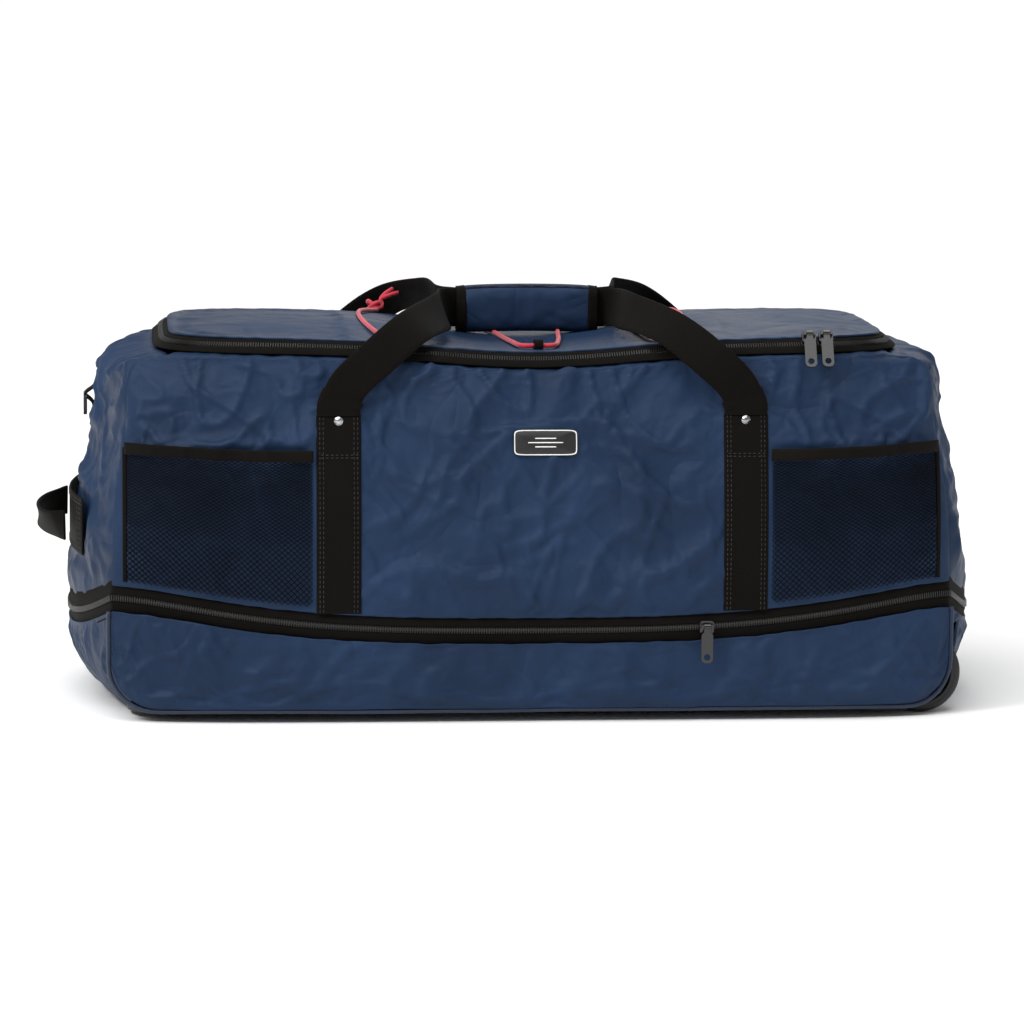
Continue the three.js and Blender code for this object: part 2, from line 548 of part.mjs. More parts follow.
// ---------- zip sliders ----------
// The slider sits on the chain; its pull hangs from a bar across two ears.
function makeSlider(name, place, tilt) {
  const group = new THREE.Group();
  group.position.copy(place);
  group.rotation.x = tilt;
  root.add(group);
  const [l, h, t] = [slider.length / 2, slider.height / 2, slider.thick];
  const barY = -t - pull.eye - 0.8, barZ = 1;
  let body = solid(extrude(rounded(l, h, 2.5), t, 3).rotateX(Math.PI / 2));
  const ear = (x) => solid(box([x - 0.8, barY - 1.6, barZ - 1.8], [x + 0.8, -t + 0.5, barZ + 1.8]));
  body = body.add(ear(-4.2)).add(ear(4.2)).add(solid(rod('x', pull.bar, -4.5, 4.5, [barY, barZ], 12)));
  add(name + '_slider', geometryOf(body), plastic, group);

  const eye = new THREE.Shape().absarc(0, 0, pull.eye, 0, 2 * Math.PI, false);
  let tab = solid(extrude(eye, 5.6, 6).translate(0, 0, -2.8).rotateY(Math.PI / 2).translate(0, barY, barZ));
  const blade = rounded(pull.width / 2, pull.length / 2, 4);
  blade.holes.push(new THREE.Path().absarc(0, -pull.length / 2 + 5.2, 2.9, 0, 2 * Math.PI, true));
  const neck = box([-2.8, barY - pull.thick / 2, barZ - 6], [2.8, barY + pull.thick / 2, barZ]);
  tab = tab.add(solid(neck));
  tab = tab.add(solid(extrude(blade, pull.thick, 4).rotateX(Math.PI / 2)
    .translate(0, barY + pull.thick / 2, barZ - 4.4 - pull.length / 2)));
  tab = tab.subtract(solid(rod('x', pull.bar + gap, -4, 4, [barY, barZ], 12)));
  add(name + '_pull', geometryOf(tab), plastic, group);
}

makeBase();
makeWheels();
makeWalls();
makeEnd();
makeLid();
makeHandles();
const beltY = sideY(slider.beltX);
makeSlider('belt', V(slider.beltX, -beltY - belt.proud - gap, beltZ(slider.beltX, beltY)), 0);
const zipSpot = (x) => {
  const middle = 1 + zipBand.width / 2;
  return V(x, -sideY(x, lid.length / 2 + middle, lid.depth / 2 + middle) - 5, bag.zipHeight - sag(x) + 2.5);
};
makeSlider('lid_left', zipSpot(slider.lidX[0]), slider.lidTilt);
makeSlider('lid_right', zipSpot(slider.lidX[1]), slider.lidTilt);

export default root;
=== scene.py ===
"""A wheeled duffel bag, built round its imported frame. Metres; +X is the wheeled end, +Y the back, +Z up."""
import math

import bmesh
import bpy
import numpy as np
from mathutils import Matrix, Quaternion, Vector


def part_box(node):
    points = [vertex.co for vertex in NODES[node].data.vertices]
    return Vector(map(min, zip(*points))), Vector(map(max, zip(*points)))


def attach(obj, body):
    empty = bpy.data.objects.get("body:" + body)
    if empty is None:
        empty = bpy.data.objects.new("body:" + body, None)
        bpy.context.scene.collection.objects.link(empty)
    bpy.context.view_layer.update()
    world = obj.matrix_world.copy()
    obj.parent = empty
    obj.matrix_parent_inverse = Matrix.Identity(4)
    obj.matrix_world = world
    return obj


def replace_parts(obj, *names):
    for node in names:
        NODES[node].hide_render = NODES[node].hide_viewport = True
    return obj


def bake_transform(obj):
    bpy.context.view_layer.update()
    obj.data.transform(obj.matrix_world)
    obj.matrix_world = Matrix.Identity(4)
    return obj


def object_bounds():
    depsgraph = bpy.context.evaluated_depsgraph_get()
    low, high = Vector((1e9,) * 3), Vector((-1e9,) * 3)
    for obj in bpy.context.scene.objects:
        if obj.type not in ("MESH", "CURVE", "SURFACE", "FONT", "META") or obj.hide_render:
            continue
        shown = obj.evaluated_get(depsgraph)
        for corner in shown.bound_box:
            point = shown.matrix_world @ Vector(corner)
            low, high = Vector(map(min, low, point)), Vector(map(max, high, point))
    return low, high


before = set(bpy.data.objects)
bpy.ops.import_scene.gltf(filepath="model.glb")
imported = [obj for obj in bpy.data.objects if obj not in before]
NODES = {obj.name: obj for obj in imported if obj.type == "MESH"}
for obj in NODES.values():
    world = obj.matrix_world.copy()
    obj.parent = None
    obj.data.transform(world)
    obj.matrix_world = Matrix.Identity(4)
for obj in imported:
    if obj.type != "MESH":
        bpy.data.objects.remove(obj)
cad_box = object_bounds()
MM = 0.001


def low(node):
    return np.array(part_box(node)[0])


def high(node):
    return np.array(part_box(node)[1])


# ---------- dimensions, taken from the frame ----------
HALF_L, HALF_D = high("belt_upper_tape")[:2]
CORNER = 6  # power of the rounded plan outline
SEAM = 359 * MM  # front and back panels end here, at the belt
SEAM_SPREAD = 0.045
COIL = 7 * MM
BELT_Z = low("belt_zip_coil")[2] + COIL / 2
BELT_RISE = high("belt_zip_coil")[2] - low("belt_zip_coil")[2] - COIL
LID_L, LID_D = high("lid_panel")[:2]
LID_Z, SAG, SAG_WIDTH, CROWN = 322 * MM, 12 * MM, 120 * MM, 9 * MM
BAND = 14 * MM
FOOT = low("front_lower_panel")[2]
FOOT_CORNER = 38 * MM
MIDDLE = (low("badge")[0] + high("badge")[0]) / 2 - 2 * MM  # the handles are centred a little to the right
STRAP_X = {side: (low(f"front_{side}_strap")[0] + high(f"front_{side}_strap")[0]) / 2 for side in ("left",
        "right")}
SPACING = STRAP_X["right"] - STRAP_X["left"]
WEBBING, WEB_THICK = 38 * MM, 1.6 * MM
GRIP_Z = (low("front_grip_wrap")[2] + high("front_grip_wrap")[2]) / 2
POCKET_TOP, POCKET_BULGE = 222 * MM, 13 * MM
# half length, half depth and height of the upper wall, from the belt to the lid zip
WALL = np.array([
    (HALF_L, HALF_D, BELT_Z + 13.9 * MM), (HALF_L - 4 * MM, HALF_D, 0.150), (HALF_L - 11 * MM,
            HALF_D - 3 * MM, 0.190),
    (HALF_L - 19 * MM, HALF_D - 8 * MM, 0.222), (HALF_L - 25 * MM, HALF_D - 14 * MM, 0.258),
    (HALF_L - 28 * MM, HALF_D - 21 * MM, 0.285), (HALF_L - 38 * MM, HALF_D - 27 * MM, 0.302),
    (LID_L + 20 * MM, LID_D + 16 * MM, 0.3085)])


def catmull(points, t):
    """Centripetal Catmull-Rom curve through the points, at shares t."""
    p = np.asarray(points, float)
    p = np.vstack([2 * p[0] - p[1], p, 2 * p[-1] - p[-2]])
    t = np.asarray(t, float)
    spot = np.clip(t, 0, 1) * (len(p) - 3)
    i = np.minimum(spot.astype(int), len(p) - 4)
    w = (spot - i)[..., None]
    a, b, c, d = p[i], p[i + 1], p[i + 2], p[i + 3]
    step = [np.maximum(np.linalg.norm(y - x, axis=-1), 1e-8)[..., None] ** 0.5 for x, y in ((a, b), (b, c),
            (c, d))]
    m1 = ((b - a) / step[0] - (c - a) / (step[0] + step[1]) + (c - b) / step[1]) * step[1]
    m2 = ((c - b) / step[1] - (d - b) / (step[1] + step[2]) + (d - c) / step[2]) * step[1]
    return b + m1 * w + (-3 * b + 3 * c - 2 * m1 - m2) * w ** 2 + (2 * b - 2 * c + m1 + m2) * w ** 3


def outline(share):
    return (1 - np.minimum(1, np.abs(share)) ** CORNER) ** (1 / CORNER)


def side_y(x, a=HALF_L, b=HALF_D):
    return b * outline(x / a)


def end_x(y, a=HALF_L, b=HALF_D, k=SEAM / HALF_L, m=0.0):
    """An end that bulges out between its seams.

    k is the seam's share, and m is how far the end follows the rounded outline instead.
    """
    share, q = np.abs(y) / b, outline(k)
    bulged = k + (1 - k) * (1 - (share / q) ** 2)
    return a * np.where(share > q, outline(share), m * outline(share) + (1 - m) * bulged)


SEAM_LIFT = (SEAM / HALF_L) ** 3 * (side_y(SEAM) / HALF_D) ** 3


def belt_z(x, y):
    return BELT_Z + BELT_RISE * (np.abs(x) / HALF_L) ** 3 * (np.abs(y) / HALF_D) ** 3 / SEAM_LIFT


def sag(x):
    return SAG * np.exp(-(x / SAG_WIDTH) ** 2)


def seam_share(v):
    return SEAM / HALF_L + SEAM_SPREAD * np.clip(v, 0, 1)


def seam_at(v):
    return wall_at(v)[..., 0] * seam_share(v)


STRAP_TOP = 262 * MM  # the sewn straps end here, just above their rivets
HAUL_Z, RING_Z, RING_BAR_Z = 157 * MM, 260 * MM, 262.5 * MM  # at the left end
TUCK = 0.05  # share past the wall's ends where its fabric runs under the lid zip and behind the belt


def wall_at(v):
    """Half length, half depth and height at share v; past 1 the fabric turns in under the lid zip's edge."""
    s = catmull(WALL, np.clip(v, 0, 1))
    over = np.clip((v - 1) / TUCK, 0, 1)[..., None]
    rim = np.array([LID_L + 12.2 * MM, LID_D + 12.2 * MM, LID_Z - 12 * MM])
    return s * (1 - over) + rim * over


def height_change(x, y, v):
    w = np.clip(v, 0, 1)
    behind = np.clip(-v / TUCK, 0, 1) * 3.2 * MM
    return (belt_z(x, y) - BELT_Z) * (1 - w) ** 2 - sag(x) * w ** 3 - behind


def side_point(side, x, v, out=0.0):
    x, v = np.broadcast_arrays(np.asarray(x, float), np.asarray(v, float))
    s = wall_at(v)
    y = side_y(x, s[..., 0] + out, s[..., 1] + out)
    return np.stack([x, side * y, s[..., 2] + height_change(x, y, v)], -1)


def end_point(side, y, v, out=0.0):
    y, v = np.broadcast_arrays(np.asarray(y, float), np.asarray(v, float))
    s = wall_at(v)
    x = end_x(y, s[..., 0] + out, s[..., 1] + out, seam_share(v), np.clip(v, 0, 1) ** 4)
    return np.stack([side * x, y, s[..., 2] + height_change(x, y, v)], -1)


def level_at(z):
    """Share of the wall at a height."""
    shares = np.linspace(0, 1, 2000)
    return float(np.interp(z, catmull(WALL, shares)[:, 2], shares))


def lid_z(x, y):
    along, over = x / LID_L, y / LID_D
    crown = CROWN * (1 - over ** 2) * (1 - along ** 4) * (1 - np.exp(-(x / SAG_WIDTH) ** 2))
    return LID_Z - sag(x) + crown


# ---------- noise ----------
def noise(x, y, seed):
    """Smooth noise from about -1 to 1, one unit across a feature."""
    angles = np.random.default_rng(seed).uniform(0, 2 * math.pi, (64, 64))
    xi, yi = np.floor(x).astype(int), np.floor(y).astype(int)
    xf, yf = x - xi, y - yi

    def corner(i, j):
        a = angles[(xi + i) % 64, (yi + j) % 64]
        return np.cos(a) * (xf - i) + np.sin(a) * (yf - j)

    u, w = (f ** 3 * (f * (f * 6 - 15) + 10) for f in (xf, yf))
    return 1.5 * ((corner(0, 0) * (1 - u) + corner(1, 0) * u) * (1 - w) + (corner(0, 1) * (1 - u) + corner(1,
            1) * u) * w)


def creases(x, y, seed, size, turn, stretch):
    """Creased ridges from 0 to 1, size apart and drawn out along a direction."""
    c, s = math.cos(turn), math.sin(turn)
    a, b = (x * c + y * s) / (size * stretch), (y * c - x * s) / size
    a, b = a + 0.6 * noise(a * 1.3, b * 0.9, seed + 1), b + 0.6 * noise(a * 0.9 + 7, b * 0.7, seed + 2)
    return np.exp(-np.abs(noise(a, b, seed)) * 7)


def rumple(x, y, seed, dents=3.0, folds=2.6, fine=0.9):
    """Height of crumpled nylon, in metres, centred on 0."""
    big = noise(x / 0.11, y / 0.08, seed) + 0.5 * noise(x / 0.05, y / 0.045, seed + 3)
    lean = creases(x, y, seed + 10, 0.042, 0.9, 2.2) + creases(x, y, seed + 20, 0.036, -0.8, 2.0)
    small = creases(x, y, seed + 30, 0.017, 0.6, 1.6) + creases(x, y, seed + 40, 0.014, -1.1, 1.8)
    where = 0.35 + 0.65 * np.clip(noise(x / 0.09, y / 0.07, seed + 50) + 0.5, 0, 1)
    return MM * (dents * big + 1.5 * folds * (lean - 0.5) + fine * (small - 0.5) * where)


# ---------- meshes ----------
def normals_of(points):
    n = np.cross(np.gradient(points, axis=0), np.gradient(points, axis=1))
    return n / np.maximum(np.linalg.norm(n, axis=-1, keepdims=True), 1e-12)


def raw(name, verts, faces, mat, smooth=True):
    mesh = bpy.data.meshes.new(name)
    mesh.from_pydata(np.asarray(verts, float).reshape(-1, 3).tolist(), [],
                     [list(map(int, f)) for f in faces])
    mesh.update()
    if smooth:
        mesh.polygons.foreach_set("use_smooth", [True] * len(mesh.polygons))
    mesh.materials.append(mat)
    made = bpy.data.objects.new(name, mesh)
    bpy.context.scene.collection.objects.link(made)
    return made


def grid(name, points, mat, closed=False, keep=None):
    """A mesh of quads on a grid of points, with a UV in metres. closed joins the last column to the first."""
    nu, nv = points.shape[0] - 1, points.shape[1] - 1
    columns = nu if closed else nu + 1
    index = (np.arange(nu + 1) % columns)[:, None] * (nv + 1) + np.arange(nv + 1)[None, :]
    corners = [(0, 0), (1, 0), (1, 1), (0, 1)]
    cut = lambda g, i, j: g[i:nu + i, j:nv + j]
    faces = np.stack([cut(index, i, j) for i, j in corners], -1).reshape(-1, 4)
    along = np.linalg.norm(np.diff(points, axis=0), axis=-1).mean(1)
    up = np.linalg.norm(np.diff(points, axis=1), axis=-1).mean(0)
    u, v = np.concatenate([[0], np.cumsum(along)]), np.concatenate([[0], np.cumsum(up)])
    uv = np.stack(np.meshgrid(u, v, indexing="ij"), -1)
    uvs = np.stack([cut(uv, i, j) for i, j in corners], 2).reshape(-1, 4, 2)
    if keep is not None:
        mask = np.stack([cut(keep, i, j) for i, j in corners], -1).reshape(-1, 4).all(1)
        faces, uvs = faces[mask], uvs[mask]
    made = raw(name, points[:columns].reshape(-1, 3), faces, mat)
    layer = made.data.uv_layers.new(name="UVMap")
    layer.data.foreach_set("uv", uvs.astype(np.float32).ravel())
    return made


def thicken(piece, thick, offset=-1.0):
    m = piece.modifiers.new("thickness", "SOLIDIFY")
    m.thickness, m.offset, m.use_even_offset = thick, offset, False
    return piece


def settle(piece):
    """Makes the modifiers part of the mesh."""
    view = bpy.context.evaluated_depsgraph_get()
    mesh = bpy.data.meshes.new_from_object(piece.evaluated_get(view), preserve_all_data_layers=True,
                                           depsgraph=view)
    piece.modifiers.clear()
    piece.data = mesh
    return piece


def tangents_of(line):
    t = np.gradient(line, axis=0)
    return t / np.maximum(np.linalg.norm(t, axis=1, keepdims=True), 1e-12)


def carried(line):
    """A sideways direction at each point of a line, carried along without twist."""
    t = tangents_of(line)
    w = np.cross(t[0], [0, 0, 1.0])
    if np.linalg.norm(w) < 0.1:
        w = np.cross(t[0], [1.0, 0, 0])
    found = []
    for d in t:
        w = w - d * (w @ d)
        w = w / np.linalg.norm(w)
        found.append(w)
    return np.array(found)


def sweep(name, line, across, section, mat, closed=False):
    """A closed section of (across, outwards) offsets drawn along a line. section may differ at each point."""
    line, t = np.asarray(line, float), tangents_of(np.asarray(line, float))
    if closed:
        t[0] = t[-1] = (t[0] + t[-1]) / np.linalg.norm(t[0] + t[-1])
    w = np.asarray(across, float) - t * np.sum(np.asarray(across) * t, 1, keepdims=True)
    w = w / np.linalg.norm(w, axis=1, keepdims=True)
    n = np.cross(t, w)
    section = np.broadcast_to(np.asarray(section, float), (len(line), *np.shape(section)[-2:]))
    ring = line[:, None] + section[..., :1] * w[:, None] + section[..., 1:] * n[:, None]
    points = np.concatenate([ring, ring[:, :1]], 1)
    count = ring.shape[1]
    length = np.concatenate([[0], np.cumsum(np.linalg.norm(np.diff(line, axis=0), axis=1))])
    around = np.concatenate([[0], np.cumsum(np.linalg.norm(np.diff(points[0], axis=0), axis=1))])
    steps = len(line) - 1
    rows = steps if closed else len(line)
    i, j = np.meshgrid(np.arange(steps), np.arange(count), indexing="ij")
    a, b = i * count, ((i + 1) % rows) * count
    faces = np.stack([a + j, b + j, b + (j + 1) % count, a + (j + 1) % count], -1).reshape(-1, 4)
    uvs = np.stack([np.stack([length[i + p], around[j + q]], -1) for p, q in ((0, 0), (1, 0), (1, 1),
            (0, 1))], 2)
    faces, uvs = faces.tolist(), uvs.reshape(-1, 2).tolist()
    if not closed:
        for first, turn in ((0, 1), (steps * count, -1)):
            faces.append([first + k for k in range(count)][::turn])
            uvs += [(0.0, 0.0)] * count
    made = raw(name, ring[:rows].reshape(-1, 3), faces, mat)
    made.data.uv_layers.new(name="UVMap").data.foreach_set("uv", np.asarray(uvs, np.float32).ravel())
    return made


def round_section(radius, sides=12):
    a = np.linspace(0, 2 * math.pi, sides, endpoint=False)
    return np.stack([radius * np.cos(a), radius * np.sin(a)], -1)


def flat_section(width, thick, edge=0.8 * MM, inner=6):
    """Webbing: flat faces and rounded edges."""
    half = width / 2
    x = np.linspace(-half + edge, half - edge, inner)
    top = [(a, thick / 2) for a in x]
    bottom = [(a, -thick / 2) for a in x[::-1]]
    return np.array([*top, (half, 0), *bottom, (-half, 0)])


def scatter(name, template, faces, spots, along, outward, mat, smooth=True):
    """Copies of a small shape, with its x along the line and its z outwards, as one mesh."""
    template = np.asarray(template, float)
    side = np.cross(outward, along)
    placed = (spots[:, None] + template[None, :, :1] * along[:, None] + template[None, :, 1:2] * side[:, None]
              + template[None, :, 2:] * outward[:, None])
    count = len(template)
    every = [[count * k + i for i in f] for k in range(len(spots)) for f in faces]
    return raw(name, placed, every, mat, smooth)


def spaced(line, pitch, outward=None):
    """Points every pitch along a line, their directions, and the outward directions there."""
    line = np.asarray(line, float)
    run = np.concatenate([[0], np.cumsum(np.linalg.norm(np.diff(line, axis=0), axis=1))])
    at = np.arange(pitch / 2, run[-1], pitch)
    pick = lambda values: np.stack([np.interp(at, run, np.asarray(values)[:, k]) for k in range(3)], -1)
    unit = lambda d: d / np.linalg.norm(d, axis=1, keepdims=True)
    spots, along = pick(line), unit(pick(tangents_of(line)))
    out = pick(outward)
    return spots, along, unit(out - along * np.sum(out * along, 1, keepdims=True))


def stitch_shape(length, radius):
    ring = [(0, radius), (radius, 0), (0, -radius), (-radius, 0)]
    verts = [(-length / 2, 0, 0), *[(-length / 4, a, b) for a, b in ring], *[(length / 4, a,
            b) for a, b in ring],
             (length / 2, 0, 0)]
    faces = [(0, 1 + i, 1 + (i + 1) % 4) for i in range(4)] + [(9, 5 + (i + 1) % 4, 5 + i) for i in range(4)]
    faces += [(1 + i, 5 + i, 5 + (i + 1) % 4, 1 + (i + 1) % 4) for i in range(4)]
    return verts, faces


def stitches(name, runs, mat, body, pitch=4.2 * MM, length=3.0 * MM, radius=0.42 * MM, slot=None):
    """Sewing thread along runs of (line, outward), as one piece."""
    found = [spaced(line, pitch, outward) for line, outward in runs]
    spots, along, out = (np.concatenate(x) for x in zip(*found))
    made = scatter(name, *stitch_shape(length, radius), spots, along, out, mat)
    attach(made, body)
    return made if slot else made


def tooth_shape(pitch, width, height):
    a, b = pitch * 0.36, pitch * 0.2
    verts = [(s * k, t * w, z) for s in (-1, 1) for t in (-1, 1)
             for k, w, z in ((a, width / 2, 0), (b, width / 2 * 0.86, height))]
    faces = [(0, 2, 3, 1), (4, 5, 7, 6), (0, 1, 5, 4), (2, 6, 7, 3), (1, 3, 7, 5), (0, 4, 6, 2)]
    return verts, faces


def lathe(name, profile, mat, axis, centre, steps=72):
    """A profile of (radius, along) points turned about an axis through centre."""
    profile = np.asarray(profile, float)
    a = np.linspace(0, 2 * math.pi, steps + 1)
    r, h = profile[None, :, 0], profile[None, :, 1]
    circle = np.stack([np.cos(a)[:, None] * r, np.sin(a)[:, None] * r, np.ones_like(a)[:, None] * h], -1)
    order = {"x": (2, 0, 1), "y": (0, 2, 1), "z": (0, 1, 2)}[axis]
    return grid(name, circle[..., order] + np.asarray(centre, float), mat, closed=True)


def outward_faces(piece):
    """Turns a closed mesh's faces out."""
    b = bmesh.new()
    b.from_mesh(piece.data)
    bmesh.ops.recalc_face_normals(b, faces=b.faces)
    b.to_mesh(piece.data)
    b.free()
    return piece


# ---------- materials ----------
def linear(hex_colour):
    rgb = [int(hex_colour[i:i + 2], 16) / 255 for i in (0, 2, 4)]
    return (*[c / 12.92 if c < 0.04 else ((c + 0.055) / 1.055) ** 2.4 for c in rgb], 1.0)


class Paint:
    """A material whose nodes are added one after another."""

    def __init__(self, name, roughness, metallic=0.0, sheen=0.0, coat=0.0, specular=0.5):
        self.material = bpy.data.materials.new(name)
        self.material.use_nodes = True
        self.tree = self.material.node_tree
        self.shader = self.tree.nodes["Principled BSDF"]
        values = {"Roughness": roughness, "Metallic": metallic, "Sheen Weight": sheen, "Coat Weight": coat,
                  "Specular IOR Level": specular}
        for key, value in values.items():
            self.shader.inputs[key].default_value = value

    def add(self, kind, out=0, props=(), **inputs):
        n = self.tree.nodes.new("ShaderNode" + kind)
        for key, value in dict(props).items():
            setattr(n, key, value)
        for key, value in inputs.items():
            numbered = key[0] == "i" and key[1:].isdigit()
            socket = n.inputs[int(key[1:]) if numbered else key.replace("_", " ")]
            if isinstance(value, bpy.types.NodeSocket):
                self.tree.links.new(value, socket)
            else:
                socket.default_value = value
        return n.outputs[out]

    def maths(self, operation, a, b=0.0):
        return self.add("Math", props={"operation": operation}, i0=a, i1=b)

    def set(self, key, socket):
        self.tree.links.new(socket, self.shader.inputs[key])

    def spots(self, scale, detail=3.0, rough=0.55, vector=None):
        vector = vector or self.add("TexCoord", out="Object")
        return self.add("TexNoise", Vector=vector, Scale=scale, Detail=detail, Roughness=rough)

    def mix(self, factor, a, b):
        n = self.tree.nodes.new("ShaderNodeMix")
        n.data_type = "RGBA"
        for slot, value in ((0, factor), (6, a), (7, b)):
            if isinstance(value, bpy.types.NodeSocket):
                self.tree.links.new(value, n.inputs[slot])
            else:
                n.inputs[slot].default_value = value
        return n.outputs[2]

    def ramp(self, value, a, b):
        return self.add("MapRange", Value=value, From_Min=a, From_Max=b)

    def waves(self, pitch_u, pitch_v, diagonal=0.0):
        """Threads over and under each other, from 0 to 1, on the UV in metres."""
        parts = self.tree.nodes.new("ShaderNodeSeparateXYZ")
        self.tree.links.new(self.add("UVMap"), parts.inputs[0])
        u, v = parts.outputs[0], parts.outputs[1]
        lean = self.maths("ADD", u, self.maths("MULTIPLY", v, diagonal))
        a = self.maths("SINE", self.maths("MULTIPLY", lean, 2 * math.pi / pitch_u))
        b = self.maths("SINE", self.maths("MULTIPLY", v, 2 * math.pi / pitch_v))
        return self.maths("ADD", self.maths("MULTIPLY", self.maths("MULTIPLY", a, b), 0.5), 0.5)

    def bump(self, height, distance, strength=1.0):
        self.set("Normal", self.add("Bump", Strength=strength, Distance=distance, Height=height))

    def rough(self, value, a, b):
        self.set("Roughness", self.add("MapRange", Value=value, To_Min=a, To_Max=b))


def fabric(name, dark, light, weave=(0.9, 0.9), depth=0.10, roughness=(0.42, 0.62), sheen=0.08,
           diagonal=0.0, fleck=0.25, specular=0.4):
    p = Paint(name, roughness[0], sheen=sheen, specular=specular)
    threads = p.waves(weave[0] * MM, weave[1] * MM, diagonal)
    patches = p.ramp(p.spots(9.0, 4.0), 0.35, 0.65)
    yarn = p.spots(1400.0, 1.0)
    tone = p.maths("ADD", p.maths("MULTIPLY", patches, 0.55), p.maths("MULTIPLY", threads, fleck))
    tone = p.maths("ADD", tone, p.maths("MULTIPLY", yarn, 0.2))
    p.set("Base Color", p.mix(tone, linear(dark), linear(light)))
    p.rough(patches, *roughness)
    p.bump(p.maths("ADD", threads, p.maths("MULTIPLY", yarn, 0.5)), depth * MM)
    return p.material


def creased(material, depth):
    """Adds sharp creases, which the mesh is too coarse for, beneath the weave."""
    tree = material.node_tree
    weave = next(n for n in tree.nodes if n.type == "BUMP")
    place = tree.nodes.new("ShaderNodeTexCoord").outputs["Object"]
    for scale, share in ((9.0, 1.0), (22.0, 0.35)):
        spots = tree.nodes.new("ShaderNodeTexNoise")
        spots.inputs["Scale"].default_value = scale
        spots.inputs["Detail"].default_value = 1.5
        spots.inputs["Distortion"].default_value = 0.9
        tree.links.new(place, spots.inputs["Vector"])
        middle = tree.nodes.new("ShaderNodeMath")
        middle.operation = "SUBTRACT"
        middle.inputs[1].default_value = 0.5
        tree.links.new(spots.outputs[0], middle.inputs[0])
        ridge = tree.nodes.new("ShaderNodeMath")
        ridge.operation = "ABSOLUTE"
        tree.links.new(middle.outputs[0], ridge.inputs[0])
        fold = tree.nodes.new("ShaderNodeBump")
        fold.inputs["Distance"].default_value = depth * share * 6
        tree.links.new(ridge.outputs[0], fold.inputs["Height"])
        if weave.inputs["Normal"].is_linked:
            tree.links.new(weave.inputs["Normal"].links[0].from_socket, fold.inputs["Normal"])
        tree.links.new(fold.outputs[0], weave.inputs["Normal"])
    return material


def moulded(name, dark, light, roughness=(0.35, 0.5), grain=0.06, coat=0.0, metallic=0.0, scale=700.0):
    p = Paint(name, roughness[0], metallic=metallic, coat=coat)
    fine, wear = p.spots(scale, 2.0), p.ramp(p.spots(22.0, 5.0, 0.65), 0.4, 0.62)
    p.set("Base Color", p.mix(wear, linear(dark), linear(light)))
    p.rough(wear, *roughness)
    p.bump(fine, grain * MM)
    return p.material


NAVY = creased(fabric("navy nylon", "17273e", "233755", roughness=(0.38, 0.52), sheen=0.0, specular=0.12),
               1.9 * MM)
NAVY_LINING = fabric("navy lining", "0f1c30", "182a46", roughness=(0.5, 0.65))
PIPING = fabric("navy piping cloth", "0f1b2f", "1a2c48", weave=(0.8, 0.8), diagonal=1.0)
WEB = fabric("black webbing", "0a0908", "141210", weave=(1.6, 2.4), depth=0.35, roughness=(0.55, 0.75),
             sheen=0.02,
             fleck=0.6, specular=0.03)
TAPE = fabric("black zip tape", "0a0908", "161412", weave=(1.2, 0.9), depth=0.15, roughness=(0.6, 0.78),
              sheen=0.02,
              diagonal=0.6, fleck=0.5, specular=0.03)
BINDING = fabric("black binding", "0b0a09", "191613", weave=(1.1, 1.4), depth=0.2, roughness=(0.55, 0.7),
                 sheen=0.02,
                 fleck=0.5, specular=0.03)
NET = fabric("black net", "07080b", "10131a", weave=(0.5, 0.5), depth=0.1, roughness=(0.5, 0.7), sheen=0.02,
             specular=0.03)
CORD = fabric("red elastic cord", "8e0a1e", "d51b3a", weave=(1.7, 1.5), depth=0.2, roughness=(0.5, 0.68),
              sheen=0.4,
              diagonal=0.9, fleck=0.8)
TEETH = moulded("nylon teeth", "0c0b0a", "1c1a18", roughness=(0.28, 0.42), grain=0.02)
ENAMEL = moulded("black enamelled zinc", "060606", "101011", roughness=(0.16, 0.3), grain=0.015, coat=0.4)
PLASTIC = moulded("black moulded plastic", "0c0c0d", "1b1b1c", roughness=(0.38, 0.58), grain=0.12)
RUBBER = moulded("black tyre", "0a0a0a", "181818", roughness=(0.45, 0.65), grain=0.08)
HUB = moulded("grey hub", "17181a", "2b2c2f", roughness=(0.4, 0.55), grain=0.06)
STEEL = moulded("polished steel", "8f9194", "c9cacc", roughness=(0.16, 0.32), grain=0.01, metallic=1.0)
BOARD = moulded("base board", "111112", "1f1f20", roughness=(0.6, 0.75), grain=0.3, scale=300.0)
BADGE_FACE = moulded("badge face", "0b0b0c", "151516", roughness=(0.35, 0.5), grain=0.05)
BADGE_EDGE = moulded("badge print", "d9d7d0", "efeee9", roughness=(0.45, 0.6), grain=0.03)
NAVY_THREAD = moulded("navy thread", "20365a", "38568a", roughness=(0.5, 0.7), grain=0.05, scale=2000.0)
BLACK_THREAD = moulded("black thread", "14110e", "2d2620", roughness=(0.5, 0.7), grain=0.05, scale=2000.0)


# ---------- cloth ----------
cloths = []


def crumple_later(piece, held, grow, cap, pull=0.25, push=0.0):
    """Sets a panel up as cloth a little too large for what holds it; held marks the points that stay."""
    cloths.append((piece, np.asarray(held, bool).ravel(), grow, cap, pull, push))


def coordinates(mesh):
    co = np.zeros(len(mesh.vertices) * 3, np.float32)
    mesh.vertices.foreach_get("co", co)
    return co.reshape(-1, 3).astype(float)


